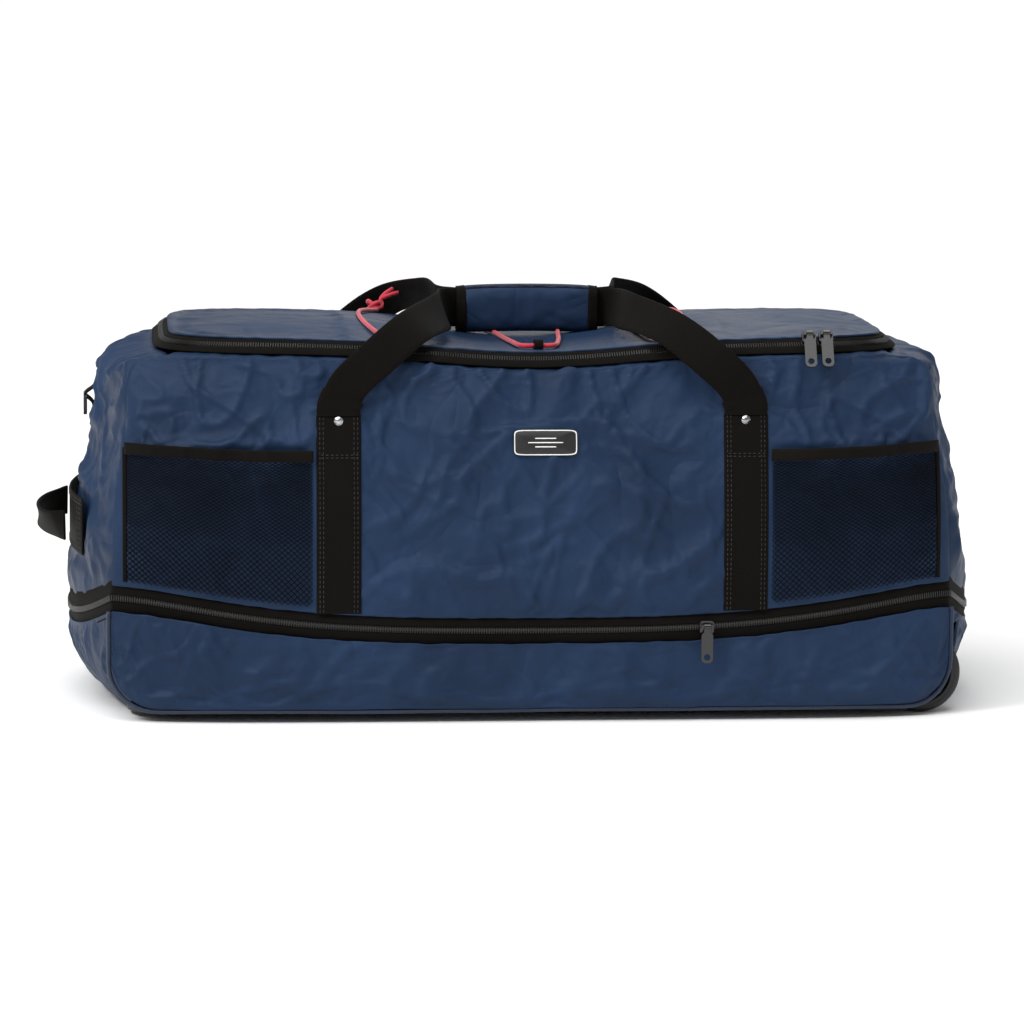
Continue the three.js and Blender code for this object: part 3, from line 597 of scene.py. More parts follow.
def crumple_all(frames=22):
    """Runs the cloth of all panels together, and keeps its result up to each panel's cap."""
    scene = bpy.context.scene
    for piece, held, grow, _, pull, push in cloths:
        group = piece.vertex_groups.new(name="held")
        group.add(np.nonzero(held)[0].tolist(), 1.0, "REPLACE")
        cloth = piece.modifiers.new("cloth", "CLOTH")
        s = cloth.settings
        s.quality, s.mass = 5, 0.2
        s.tension_stiffness, s.compression_stiffness, s.shear_stiffness, s.bending_stiffness = 22, 22, 12, 0.9
        s.shrink_min = -grow
        s.vertex_group_mass = "held"
        s.effector_weights.gravity = pull
        if push:
            s.use_pressure, s.uniform_pressure_force = True, push
        cloth.collision_settings.use_collision = False
        cloth.point_cache.frame_start, cloth.point_cache.frame_end = 1, frames
    for f in range(1, frames + 1):
        scene.frame_set(f)
    view = bpy.context.evaluated_depsgraph_get()
    moved = [coordinates(piece.evaluated_get(view).data) for piece, *_ in cloths]
    for (piece, _, _, cap, _, _), after in zip(cloths, moved):
        before = coordinates(piece.data)
        shift = after - before
        size = np.linalg.norm(shift, axis=1, keepdims=True)
        shift *= np.tanh(size / cap) * cap / np.maximum(size, 1e-9)
        piece.modifiers.remove(piece.modifiers["cloth"])
        piece.vertex_groups.clear()
        piece.data.vertices.foreach_set("co", (before + shift).astype(np.float32).ravel())
        piece.data.update()
    scene.frame_set(1)


def finish_panel(piece, thick):
    """One more subdivision and the fabric's thickness."""
    m = piece.modifiers.new("fine", "SUBSURF")
    m.levels = m.render_levels = 1
    thicken(piece, thick)
    return settle(piece)


# ---------- camera and light ----------
def aim(thing, place, target):
    thing.location = place
    thing.rotation_mode = "QUATERNION"
    thing.rotation_quaternion = (Vector(target) - Vector(place)).to_track_quat("-Z", "Y")


def make_stage():
    data = bpy.data.cameras.new("camera")
    camera = bpy.data.objects.new("camera", data)
    bpy.context.scene.collection.objects.link(camera)
    bpy.context.scene.camera = camera
    azimuth, elevation, roll, distance = math.radians(-4.73), math.radians(7.68), math.radians(0.38), 4.076
    target = Vector((-0.0054, 0, 0.1554))
    back = Vector((math.sin(azimuth) * math.cos(elevation), -math.cos(azimuth) * math.cos(elevation),
                   math.sin(elevation)))
    aim(camera, target + back * distance, target)
    camera.rotation_quaternion = Quaternion(back, roll) @ camera.rotation_quaternion
    data.lens, data.sensor_width = 161.2, 36.0
    data.clip_start, data.clip_end = 0.1, 60.0

    floor_paint = Paint("pale floor", 1.0, specular=0.0)
    shade = floor_paint.ramp(floor_paint.spots(1.5, 2.0), 0.2, 0.8)
    floor_paint.set("Base Color", floor_paint.mix(shade, linear("f6f6f5"), linear("fbfbfb")))
    size, z = 120.0, cad_box[0].z - 0.0003
    floor = raw("floor", [(-size, -size, z), (size, -size, z), (size, size, z), (-size, size, z)],
                [(0, 1, 2, 3)],
                floor_paint.material, smooth=False)
    world = bpy.data.worlds.new("studio")
    bpy.context.scene.world = world
    world.use_nodes = True
    world.node_tree.nodes["Background"].inputs[0].default_value = (1.0, 1.0, 1.0, 1.0)
    world.node_tree.nodes["Background"].inputs[1].default_value = 0.4
    sun = bpy.data.lights.new("overhead", "SUN")
    sun.energy, sun.angle = 2.3, math.radians(60)
    holder = bpy.data.objects.new("overhead", sun)
    bpy.context.scene.collection.objects.link(holder)
    aim(holder, (-0.6, -0.9, 3.0), (0, 0, 0))
    for name, place, size, power in (("key", (-1.9, -1.5, 1.9), 0.6, 34), ("fill", (2.4, -2.2, 1.0), 1.4, 3),
                                     ("rim", (0.6, 2.6, 1.8), 1.6, 12)):
        lamp = bpy.data.lights.new(name, "AREA")
        lamp.energy, lamp.size = power, size
        holder = bpy.data.objects.new(name, lamp)
        bpy.context.scene.collection.objects.link(holder)
        aim(holder, place, (0, 0, 0.16))
    bpy.context.scene.view_settings.view_transform = "Standard"


# ---------- upper walls ----------
SIDES = (("front", -1), ("back", 1))
ENDS = (("left", -1), ("right", 1))


def edge_fade(s, v, side=0.03, foot=0.04):
    """0 where a panel is sewn down, 1 in its middle."""
    soft = lambda d, r: np.clip(d / r, 0, 1) ** 0.7
    return soft(np.minimum(s, 1 - s), side) * soft(np.minimum(v, 1 - v), foot)


def wall_shares(rows):
    return np.concatenate([[-TUCK], np.linspace(0, 1, rows), [1 + TUCK / 2, 1 + TUCK]])


def covered(x, z):
    """1 where the front wall lies behind a pocket or the badge, and 0 away from them."""
    soft = lambda d: np.clip(d / 0.006 + 1, 0, 1)
    edge = SPACING / 2 + WEBBING / 2
    pocket = soft(np.abs(x - MIDDLE) - edge) * soft(POCKET_TOP + 10 * MM - z)
    lo, hi = low("badge"), high("badge")
    plate = soft(np.minimum(x - lo[0], hi[0] - x)) * soft(np.minimum(z - lo[2], hi[2] - z))
    return np.maximum(pocket, plate)


def make_side_wall(name, side, seed):
    s = np.linspace(0, 1, 250)[:, None]
    v = wall_shares(84)[None, :]
    x = seam_at(v) * (2 * s - 1)
    p = side_point(side, x, v)
    n = normals_of(p) * -side * np.array([1, 1, 1])
    if n[125, 40, 1] * side < 0:
        n = -n
    w = np.clip(v, 0, 1)
    loose = edge_fade(s, w) * np.ones_like(x)
    for hand in STRAP_X:
        off = np.abs(x - STRAP_X[hand]) - WEBBING / 2
        loose = np.where(w < level_at(STRAP_TOP), loose * np.clip(0.12 + off / 0.02, 0.12, 1), loose)
    if side < 0:
        loose = loose * (1 - 0.75 * covered(x, p[..., 2]))
    height = rumple(x, p[..., 2], seed) + 2.5 * MM
    # gathers along the end seams, and small puckers over the belt and under the lid zip
    pleat = np.sin(p[..., 2] / 0.0085 * 2 + 3 * noise(p[..., 2] / 0.03, x * 0, seed + 5) + side)
    end_near = np.minimum(np.abs(x - seam_at(w)), np.abs(x + seam_at(w)))
    height += pleat * 1.5 * MM * np.exp(-end_near / 0.016)
    frill = noise(x / 0.012, x * 0 + 2, seed + 6) + 0.6 * noise(x / 0.03, x * 0, seed + 7)
    edge = np.exp(-w / 0.05) + np.exp(-(1 - w) / 0.05)
    loose_edge = np.clip(loose, 0, 1)
    p = p + n * (height * loose_edge)[..., None] + n * (frill * edge * 0.8 * MM)[..., None]
    p = p - n * (1.6 * MM * np.exp(-end_near / 0.004))[..., None]
    p[:, 0, 2] += 0.7 * MM * frill[:, 0]
    p[:, -1, 2] += 0.8 * MM * frill[:, -1]
    made = grid(name, p[:, :] if side > 0 else p[::-1], NAVY)
    held = np.zeros(p.shape[:2], bool)
    held[:2] = held[-2:] = True
    held[:, :2] = held[:, -3:] = True
    for hand in STRAP_X:
        held |= (np.abs(x - STRAP_X[hand]) < WEBBING / 2 - 2 * MM) & (w < level_at(STRAP_TOP))
    if side < 0:
        held |= covered(x, p[..., 2]) > 0.5
    crumple_later(made, held if side > 0 else held[::-1], 0.018, 5 * MM)
    return made


def make_end_wall(name, side, seed):
    s = np.linspace(0, 1, 90)[:, None]
    v = wall_shares(60)[None, :]
    w = np.clip(v, 0, 1)
    limit = side_point(1, seam_at(w), v)[..., 1]
    y = limit * (2 * s - 1)
    p = end_point(side, y, v)
    n = normals_of(p)
    if n[45, 30, 0] * side < 0:
        n = -n
    loose = edge_fade(s, w, 0.05, 0.06)
    height = rumple(y, p[..., 2], seed, 3.0, 2.4, 0.8) + 2.0 * MM
    end_near = np.abs(np.abs(y) - limit)
    pleat = np.sin(p[..., 2] / 0.0085 * 2 + 3 * noise(p[..., 2] / 0.03, y * 0, seed + 5))
    height += pleat * 1.8 * MM * np.exp(-end_near / 0.018)
    band = (np.abs(p[..., 2] - HAUL_Z) < 30 * MM) & (np.abs(y) < 0.1)
    tab = (np.abs(p[..., 2] - RING_Z) < 26 * MM) & (np.abs(y) < 0.018)
    band = (band | tab) & (side < 0)
    loose = loose * np.where(band, 0.1, 1.0)
    p = p + n * (height * loose)[..., None] - n * (1.6 * MM * np.exp(-end_near / 0.004))[..., None]
    made = grid(name, p if side > 0 else p[::-1], NAVY)
    held = np.zeros(p.shape[:2], bool)
    held[:2] = held[-2:] = True
    held[:, :2] = held[:, -3:] = True
    held |= band
    crumple_later(made, held if side > 0 else held[::-1], 0.02, 5 * MM)
    return made


# ---------- lower walls ----------
def lower_top(x, y):
    return belt_z(x, y) - 11.3 * MM


def foot_z(x):
    over = np.maximum(0, np.abs(x) - (SEAM - FOOT_CORNER))
    return FOOT + FOOT_CORNER - np.sqrt(np.maximum(0, FOOT_CORNER ** 2 - over ** 2))


def make_lower_side(name, side, seed):
    s = np.linspace(0, 1, 200)[:, None]
    v = np.linspace(0, 1, 26)[None, :]
    x = SEAM * np.sin((s - 0.5) * math.pi * 0.999) * np.ones_like(v)
    y = side_y(x)
    z = foot_z(x) + (lower_top(x, y) - foot_z(x)) * v
    p = np.stack([x, side * y, z], -1)
    n = np.stack([np.zeros_like(x), side * np.ones_like(x), np.zeros_like(x)], -1)
    loose = np.clip(np.minimum(v, 1 - v) / 0.12, 0, 1) ** 0.7 * np.clip((1 - np.abs(x) / SEAM) / 0.03, 0, 1)
    belly = 3.5 * MM * np.sin(math.pi * v) ** 0.8
    long_fold = creases(x, z, seed + 60, 0.03, 0.12, 5.0)
    height = rumple(x, z, seed, 1.4, 1.8, 0.6) + 2.0 * MM * (long_fold - 0.3) + belly
    frill = noise(x / 0.014, x * 0 + 2, seed + 6) + 0.6 * noise(x / 0.035, x * 0, seed + 7)
    p = p + n * (height * loose)[..., None]
    p[:, -1, 2] += (0.9 * MM * frill[:, -1])
    p[:, -1] += n[:, -1] * 1.2 * MM
    made = grid(name, p if side > 0 else p[::-1], NAVY)
    held = np.zeros(p.shape[:2], bool)
    held[:2] = held[-2:] = True
    held[:, :2] = held[:, -2:] = True
    crumple_later(made, held if side > 0 else held[::-1], 0.015, 4 * MM, pull=0.5)
    return made


WELL = (low("front_wheel_housing")[0] - 4 * MM,
        high("front_wheel_housing")[2] + 2 * MM)  # room kept for a wheel
WELL_Y = -high("front_wheel_housing")[1] - 2 * MM


def make_lower_end(name, side, seed):
    reach = side_y(SEAM) - 1 * MM
    s = np.linspace(0, 1, 150)[:, None]
    v = np.linspace(0, 1, 26)[None, :]
    y = reach * (2 * s - 1) * np.ones_like(v)
    top = lower_top(end_x(y), y)
    lean_foot = np.zeros_like(y)
    foot = FOOT - 1.5 * MM + lean_foot
    corner = np.clip((np.abs(y) - (reach - 30 * MM)) / (30 * MM), 0, 1)
    foot = foot + 26 * MM * (1 - np.sqrt(1 - corner ** 2 * 0.999))
    if side > 0:
        arch = np.clip((np.abs(y) - (WELL_Y - 4 * MM)) / (7 * MM), 0, 1)
        foot = foot + (WELL[1] - foot) * arch * arch * (3 - 2 * arch)
    z = foot + (top - foot) * v
    share = np.clip((z - FOOT) / (top - FOOT), 0, 1)
    lean = 26 * MM * (1 - share) ** 1.6
    x = end_x(y, HALF_L - lean)
    p = np.stack([side * x, y, z], -1)
    n = np.stack([side * np.ones_like(x), np.zeros_like(x), np.zeros_like(x)], -1)
    loose = np.clip(np.minimum(v, 1 - v) / 0.15, 0, 1) * np.clip((1 - np.abs(y) / reach) / 0.06, 0, 1)
    height = rumple(y, z, seed, 1.5, 1.8, 0.6) + 1.5 * MM
    p = p + n * (height * loose)[..., None]
    p[:, -1] += n[:, -1] * 1.2 * MM
    made = grid(name, p if side > 0 else p[::-1], NAVY)
    held = np.zeros(p.shape[:2], bool)
    held[:2] = held[-2:] = True
    held[:, :2] = held[:, -2:] = True
    crumple_later(made, held if side > 0 else held[::-1], 0.012, 3 * MM)
    return made


def plan_ring(a, b, count=720, m=0.0):
    """Points round the plan, evenly spread, the last the same as the first; m is 1 for the rounded lid."""
    k = SEAM / HALF_L
    half = b * outline(k)
    x = np.linspace(-a * k, a * k, 1500)
    y = np.linspace(-half, half, 800)
    side, end = side_y(x, a, b), end_x(y, a, b, k, m)
    x, y = np.concatenate([x, end, x[::-1], -end]), np.concatenate([-side, y, side, y[::-1]])
    run = np.concatenate([[0], np.cumsum(np.hypot(np.diff(x), np.diff(y)))])
    at = np.linspace(0, run[-1], count + 1)
    return np.interp(at, run, x), np.interp(at, run, y)


def ring_out(x, y):
    """The outward direction at the points of a plan ring."""
    ring = np.stack([x, y, 0 * x], -1)
    t = np.roll(ring[:-1], -1, 0) - np.roll(ring[:-1], 1, 0)
    t = np.concatenate([t, t[:1]])
    n = np.stack([t[:, 1], -t[:, 0], 0 * x], -1)
    return n / np.linalg.norm(n, axis=1, keepdims=True)


def hoop(name, profile, z_of, mat, a=HALF_L, b=HALF_D, count=720, m=0.0):
    """A closed band round the bag. profile has (outwards, up) points of its closed section."""
    x, y = plan_ring(a, b, count, m)
    out = ring_out(x, y)
    profile = np.asarray([*profile, profile[0]], float)
    base = np.stack([x, y, z_of(x, y)], -1)
    p = base[:, None] + out[:, None] * profile[None, :, :1] + np.array([0, 0, 1.0]) * profile[None, :, 1:]
    return outward_faces(grid(name, p[::-1], mat, closed=True))


def make_belt():
    coil = COIL / 2
    # tapes: thin bands with a raised cord edge beside the chain
    for name, up, body in (("upper", 1, "upper"), ("lower", -1, "base")):
        profile = [(-0.2 * MM, up * coil * 0.45), (0.9 * MM, up * coil * 0.55), (0.9 * MM,
                up * (coil + 1.2 * MM)),
                   (0.2 * MM, up * (coil + 2.2 * MM)), (0.1 * MM, up * 15.5 * MM), (-1.1 * MM,
                           up * 15.5 * MM),
                   (-1.1 * MM, up * coil * 0.45)]
        tape = hoop(f"belt_{name}_zip_tape", profile, belt_z, TAPE)
        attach(tape, body)
        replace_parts(tape, f"belt_{name}_tape")
    x, y = plan_ring(HALF_L + 0.8 * MM, HALF_D + 0.8 * MM)
    line = np.stack([x, y, belt_z(x, y)], -1)
    pitch = 2.1 * MM
    spots, along, out = spaced(line, pitch, ring_out(x, y))
    teeth = scatter("belt_zip_teeth", *tooth_shape(pitch, 5.6 * MM, 1.3 * MM), spots, along, out, TEETH,
                    smooth=False)
    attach(teeth, "base")
    core = hoop("belt_zip_core", [(-0.9 * MM, -1.2 * MM), (1.0 * MM, -1.2 * MM), (1.0 * MM, 1.2 * MM),
                                  (-0.9 * MM, 1.2 * MM)], belt_z, TEETH)
    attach(core, "base")
    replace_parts(core, "belt_zip_coil")
    # the gusset that the zip lets out: hidden behind the belt
    inset = 6 * MM
    a, b = HALF_L - inset - 12 * MM, HALF_D - inset
    x, y = plan_ring(a, b, 360)
    out = ring_out(x, y)
    lower, upper = BELT_Z - 17 * MM, BELT_Z + 46 * MM
    z = np.linspace(lower, upper, 22)
    fade = np.sin((z - lower) / (upper - lower) * math.pi)
    wave = 1.2 * MM * noise(x / 0.03, y / 0.03, 77)[:, None] * fade[None]
    p = np.stack([x[:, None] + 0 * z, y[:, None] + 0 * z, z[None] + 0 * x[:, None]], -1)
    p = p + out[:, None] * wave[..., None]
    p[-1] = p[0]
    gusset = settle(thicken(grid("expansion_gusset", p, NAVY_LINING, closed=True), 1.2 * MM))
    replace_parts(gusset, "expansion_skirt")
    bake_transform(gusset)


def make_piping():
    r, arc = 2 * MM, FOOT_CORNER
    out = SEAM + r + 1 * MM
    foot = FOOT - r - 0.8 * MM
    for name, side in SIDES:
        x_run = np.concatenate([[-out, -out], -(out - arc) - arc * np.cos(np.linspace(0, math.pi / 2, 9)),
                                np.linspace(-280, 280, 15) * MM,
                                (out - arc) + arc * np.cos(np.linspace(math.pi / 2, 0, 9)), [out, out]])
        bend = foot + arc - arc * np.sin(np.linspace(0, math.pi / 2, 9))
        top = lower_top(out, side_y(SEAM)) - 1 * MM
        middle = foot + 1.6 * MM * (0.5 + 0.5 * noise(np.linspace(0, 5, 15), np.full(15, side + 0.5), 31))
        z_run = np.concatenate([[top, 62 * MM], bend, middle, bend[::-1], [62 * MM, top]])
        y_run = side * (side_y(np.minimum(np.abs(x_run), SEAM)) - 1 * MM)
        line = catmull(np.stack([x_run, y_run, z_run], -1), np.linspace(0, 1, 320))
        made = sweep(f"{name}_piping_cord", line, carried(line), round_section(r, 12), PIPING)
        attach(outward_faces(made), "base")
        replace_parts(made, f"{name}_piping")
        # the seam allowance between the cord and the panel
        lip = sweep(f"{name}_piping_lip", line + np.array([0, -side * 1.0 * MM, 0]),
                    np.tile([0, 1.0, 0], (len(line), 1)),
                    flat_section(3 * MM, 3.2 * MM, inner=3), PIPING)
        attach(outward_faces(lip), "base")


def make_floor_gusset():
    """Fabric from the piping in to the base plate."""
    plate_high = high("bottom_plate")
    t = np.linspace(0, 2 * math.pi, 481)
    c, s = np.cos(t), np.sin(t)
    square = lambda a, b, power: np.stack([a * np.sign(c) * np.abs(c) ** (2 / power),
                                           b * np.sign(s) * np.abs(s) ** (2 / power)], -1)
    outer = square(HALF_L - 27 * MM, HALF_D - 3 * MM, CORNER)
    edge = end_x(outer[:, 1], HALF_L - 27 * MM, HALF_D - 3 * MM)
    outer[:, 0] = np.sign(outer[:, 0]) * np.minimum(np.abs(outer[:, 0]), edge)
    inner = square(plate_high[0] - 6 * MM, plate_high[1] - 6 * MM, 8)
    v = np.linspace(0, 1, 9)[None, :, None]
    flat = outer[:, None] * (1 - v) + inner[:, None] * v
    z = (FOOT - 1.0 * MM) * (1 - v[..., 0]) + (plate_high[2] + 1.2 * MM) * v[..., 0] + 0 * flat[..., 0]
    z = z - 1.4 * MM * np.sin(math.pi * v[..., 0]) * (0.6 + 0.4 * noise(flat[..., 0] / 0.05,
            flat[..., 1] / 0.05, 12))
    keep = ~((flat[..., 0] > WELL[0]) & (np.abs(flat[..., 1]) > WELL_Y - 2 * MM))
    made = grid("base_fabric_edge", np.concatenate([flat, z[..., None]], -1), NAVY, closed=True, keep=keep)
    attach(settle(thicken(made, 1.2 * MM)), "base")


# ---------- lid ----------
def lid_share(a, b):
    """Maps a square grid from -1 to 1 on to the plan outline's shares."""
    r = np.maximum(np.maximum(np.abs(a), np.abs(b)), 1e-9)
    diagonal = 0.5 ** (1 / CORNER)
    ea, eb = a / r, b / r
    on_end = np.abs(a) >= np.abs(b)
    p = np.where(on_end, np.sign(a) * outline(eb * diagonal), ea * diagonal)
    q = np.where(on_end, eb * diagonal, np.sign(b) * outline(ea * diagonal))
    return r * p, r * q


def make_lid():
    a = np.linspace(-1, 1, 190)[:, None] * np.ones((1, 96))
    b = np.linspace(-1, 1, 96)[None, :] * np.ones((190, 1))
    p, q = lid_share(a, b)
    x, y = (LID_L + 2.4 * MM) * p, (LID_D + 2.4 * MM) * q
    r = np.maximum(np.abs(a), np.abs(b))
    inside = np.clip((1 - r) / 0.06, 0, 1)
    z = lid_z(np.clip(x, -LID_L, LID_L), np.clip(y, -LID_D, LID_D)) + 2.9 * MM
    soft = 0.12 + 0.88 * np.clip((np.abs(x - MIDDLE) - 0.165) / 0.10, 0, 1)  # flatter under the laced cord
    z = z + inside * soft * (rumple(x * 0.5, y * 0.8, 300, 3.4, 0.7, 0.1) + 1.5 * MM)
    frill = noise((x + y) / 0.013, (x - y) / 0.013, 301)
    z = z + np.exp(-(1 - r) / 0.03) * 0.5 * MM * frill
    made = grid("lid_cover", np.stack([x, y, z], -1), NAVY)
    held = (r > 0.985) | (np.abs(x - MIDDLE) < 0.165)
    crumple_later(made, held, 0.012, 3 * MM, pull=0.15)
    return made


def make_lid_zip():
    z_of = lambda x, y: LID_Z - sag(x)
    slope = -10 / BAND * MM
    # the tape lies on the slope between the lid's edge and the wall
    profile = [(0, 1.2 * MM), (BAND * 0.36, 1.2 * MM + BAND * 0.36 * slope), (BAND * 0.36,
            2.5 * MM + BAND * 0.36 * slope),
               (BAND * 0.28, 2.5 * MM + BAND * 0.28 * slope), (0, 2.0 * MM)]
    inner = hoop("lid_zip_inner_tape", profile, z_of, TAPE, LID_L + 1 * MM, LID_D + 1 * MM, m=1.0)
    profile = [(BAND * 0.64, 1.2 * MM + BAND * 0.64 * slope), (BAND + 1 * MM,
                                                               1.0 * MM + (BAND + 1 * MM) * slope),
               (BAND + 1 * MM, 2.0 * MM + (BAND + 1 * MM) * slope), (BAND * 0.72,
                                                                     2.5 * MM + BAND * 0.72 * slope),
               (BAND * 0.64, 2.5 * MM + BAND * 0.64 * slope)]
    outer = hoop("lid_zip_outer_tape", profile, z_of, TAPE, LID_L + 1 * MM, LID_D + 1 * MM, m=1.0)
    for tape in (inner, outer):
        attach(tape, "upper")
    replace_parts(outer, "lid_zip")
    a, b = LID_L + 1 * MM + BAND / 2, LID_D + 1 * MM + BAND / 2
    x, y = plan_ring(a, b, m=1.0)
    out = ring_out(x, y)
    tilt = np.array([0, 0, 1.0]) - out * slope
    tilt /= np.linalg.norm(tilt, axis=1, keepdims=True)
    line = np.stack([x, y, LID_Z - sag(x) + 1.6 * MM + BAND / 2 * slope], -1)
    pitch = 2.1 * MM
    spots, along, up = spaced(line, pitch, tilt)
    teeth = scatter("lid_zip_teeth", *tooth_shape(pitch, 5.4 * MM, 1.3 * MM), spots, along, up, TEETH,
                    smooth=False)
    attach(teeth, "upper")


HINGE_HALF = 262 * MM


def make_lid_hinge():
    """The strip of cloth that joins the lid's back edge to the bag."""
    x = np.linspace(-1, 1, 90)[:, None] * HINGE_HALF
    t = np.linspace(0, 1, 9)[None, :]
    outer, inner = LID_D + 4 * MM, LID_D - 6 * MM
    y = outer + (inner - outer) * t
    z = LID_Z - sag(x) + (-1.2 + 1.6 * t) * MM
    points = np.stack([x + 0 * t, y + 0 * x, z], -1)
    strip = settle(thicken(grid("lid_hinge_strip", points[::-1], NAVY_LINING), 0.8 * MM))
    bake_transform(strip)


LIFT, INSET = 6 * MM, 16 * MM


def make_bungee():
    edge = LID_D - INSET
    eyelets = [(low(f"cord_loop_{i}")[0] + high(f"cord_loop_{i}")[0]) / 2 for i in (1, 2, 3)]
    a, b, c = eyelets
    at = lambda x, y: (x, y, lid_z(x, y) + LIFT)
    back = [(a + b) / 2, (b + c) / 2, c + 24 * MM]
    apex = lambda x, y: [at(x - 13 * MM, y), at(x, y), at(x + 13 * MM, y)]
    path = [at(a - 6 * MM, edge - 4 * MM), at(a - 26 * MM, 40 * MM), at(a - 22 * MM,
            -edge + 34 * MM), *apex(a, -edge),
            at(a + 22 * MM, -edge + 34 * MM),
            at((a + back[0]) / 2 + 6 * MM, 10 * MM), at(back[0] - 18 * MM, edge - 30 * MM), *apex(back[0],
                    edge),
            at(back[0] + 18 * MM, edge - 30 * MM),
            at((back[0] + b) / 2, 0), at(b - 20 * MM, -edge + 32 * MM), *apex(b, -edge), at(b + 20 * MM,
                    -edge + 32 * MM),
            at((b + back[1]) / 2, 0), at(back[1] - 18 * MM, edge - 30 * MM), *apex(back[1], edge),
            at(back[1] + 18 * MM, edge - 30 * MM),
            at((back[1] + c) / 2, 0), at(c - 20 * MM, -edge + 32 * MM), *apex(c, -edge), at(c + 20 * MM,
                    -edge + 34 * MM),
            at(c + 26 * MM, 30 * MM), at(back[2] - 4 * MM, edge - 6 * MM)]
    line = catmull(path, np.linspace(0, 1, 560))
    radius = 2 * MM
    made = outward_faces(sweep("bungee_lacing", line, carried(line), round_section(radius, 12), CORD))
    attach(made, "lid")
    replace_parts(made, "bungee_cord")
    # knot and its two free ends at the back left corner of the lacing
    start = np.array(path[0])
    t = np.linspace(0, 1, 90)
    turn = 2 * math.pi * 2 * t
    knot_x = 5.5 * MM * np.cos(turn) * (1 + 0.25 * np.cos(1.5 * turn)) - 2 * MM
    knot_y = 5 * MM * np.sin(turn) + 4 * MM
    knot_z = 2 * MM + 3.4 * MM * np.sin(1.5 * turn) + 3 * MM * t
    knot = start + np.stack([knot_x, knot_y, knot_z], -1)
    ends = [("one", (12, 5, 13), (20, 8, 15)), ("two", (8, 7, 14), (15, 13, 18))]
    pieces = [("knot", knot)]
    for word, middle, tip in ends:
        run = [knot[-1]] + [start + np.array(spot) * MM for spot in ((4, 5, 9), middle, tip)]
        pieces.append((f"end_{word}", catmull(run, np.linspace(0, 1, 30))))
    for word, run in pieces:
        part = outward_faces(sweep(f"bungee_{word}", run, carried(run), round_section(1.9 * MM, 10), CORD))
        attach(part, "lid")
    # fabric loops sewn to the lid, front and back
    half = 5.05 * MM
    spots = [(i + 1, x, -edge) for i, x in enumerate(eyelets)] + [(i + 4, x,
                                                                   edge) for i, x in enumerate(back[:2])]
    for number, x, y in spots:
        angle = np.linspace(-0.35 * math.pi, 1.35 * math.pi, 36)
        ring = np.stack([np.full(36, x), y + half * np.cos(angle), lid_z(x,
                y) + LIFT + half * np.sin(angle)], -1)
        away = -1 if y < 0 else 1
        tail = lambda k: np.array([(x, y + away * k * MM, lid_z(x, y + away * k * MM) + 2.6 * MM)])
        line = np.concatenate([tail(13), ring[::-1], tail(-7)])
        loop = sweep(f"lacing_loop_{number}", line, np.tile([1.0, 0, 0], (len(line), 1)),
                     flat_section(8 * MM, 0.9 * MM, inner=4), WEB)
        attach(outward_faces(loop), "lid")
        if number <= 3:
            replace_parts(loop, f"cord_loop_{number}")


# ---------- webbing ----------
def web_piece(name, line, across, body, node=None, width=WEBBING, thick=WEB_THICK, mat=None):
    made = outward_faces(sweep(name, line, across, flat_section(width, thick, inner=10), mat or WEB))
    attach(made, body)
    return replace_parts(made, node) if node else made


def make_straps():
    for name, side in SIDES:
        runs = []
        for hand, x in STRAP_X.items():
            v = np.linspace(-0.8 * TUCK, level_at(STRAP_TOP), 46)
            line = side_point(side, x, v, WEB_THICK / 2 + 1.6 * MM)
            across = np.tile([1.0, 0, 0], (len(line), 1))
            web_piece(f"{name}_{hand}_webbing", line, across, "upper", f"{name}_{hand}_strap")
            out = np.tile([0, float(side), 0.1], (len(line), 1))
            face = line + np.array([0, side * (WEB_THICK / 2 + 0.1 * MM), 0])
            for shift in (-WEBBING / 2 + 3 * MM, -WEBBING / 2 + 6 * MM, WEBBING / 2 - 6 * MM,
                          WEBBING / 2 - 3 * MM):
                runs.append((face + np.array([shift, 0, 0]), out))
            for z in (0.228, 0.2255):
                row = side_point(side, x, level_at(z), WEB_THICK + 1.8 * MM)
                ends = np.array([row - [WEBBING / 2 - 3 * MM, 0, 0], row + [WEBBING / 2 - 3 * MM, 0, 0]])
                runs.append((np.linspace(ends[0], ends[1], 8), np.tile([0, float(side), 0], (8, 1))))
        stitches(f"{name}_strap_stitching", runs, BLACK_THREAD, "upper")
        # rivets
        for hand, x in STRAP_X.items():
            node = f"{name}_{hand}_rivet"
            centre = (low(node) + high(node)) / 2
            centre[1] = side * min(abs(low(node)[1]), abs(high(node)[1]))
            r = (high(node)[0] - low(node)[0]) / 2
            profile = [(1e-5, 2.4), (0.35 * r / MM, 2.3), (0.62 * r / MM, 1.9), (0.68 * r / MM,
                    1.5), (0.92 * r / MM, 1.2),
                       (r / MM, 0.7), (r / MM, 0), (1e-5, 0)]
            cap = lathe(f"{name}_{hand}_rivet_cap", [(a * MM, b * MM * side) for a, b in profile], STEEL,
                        "y", centre, 32)
            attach(outward_faces(cap), "upper")
            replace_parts(cap, node)


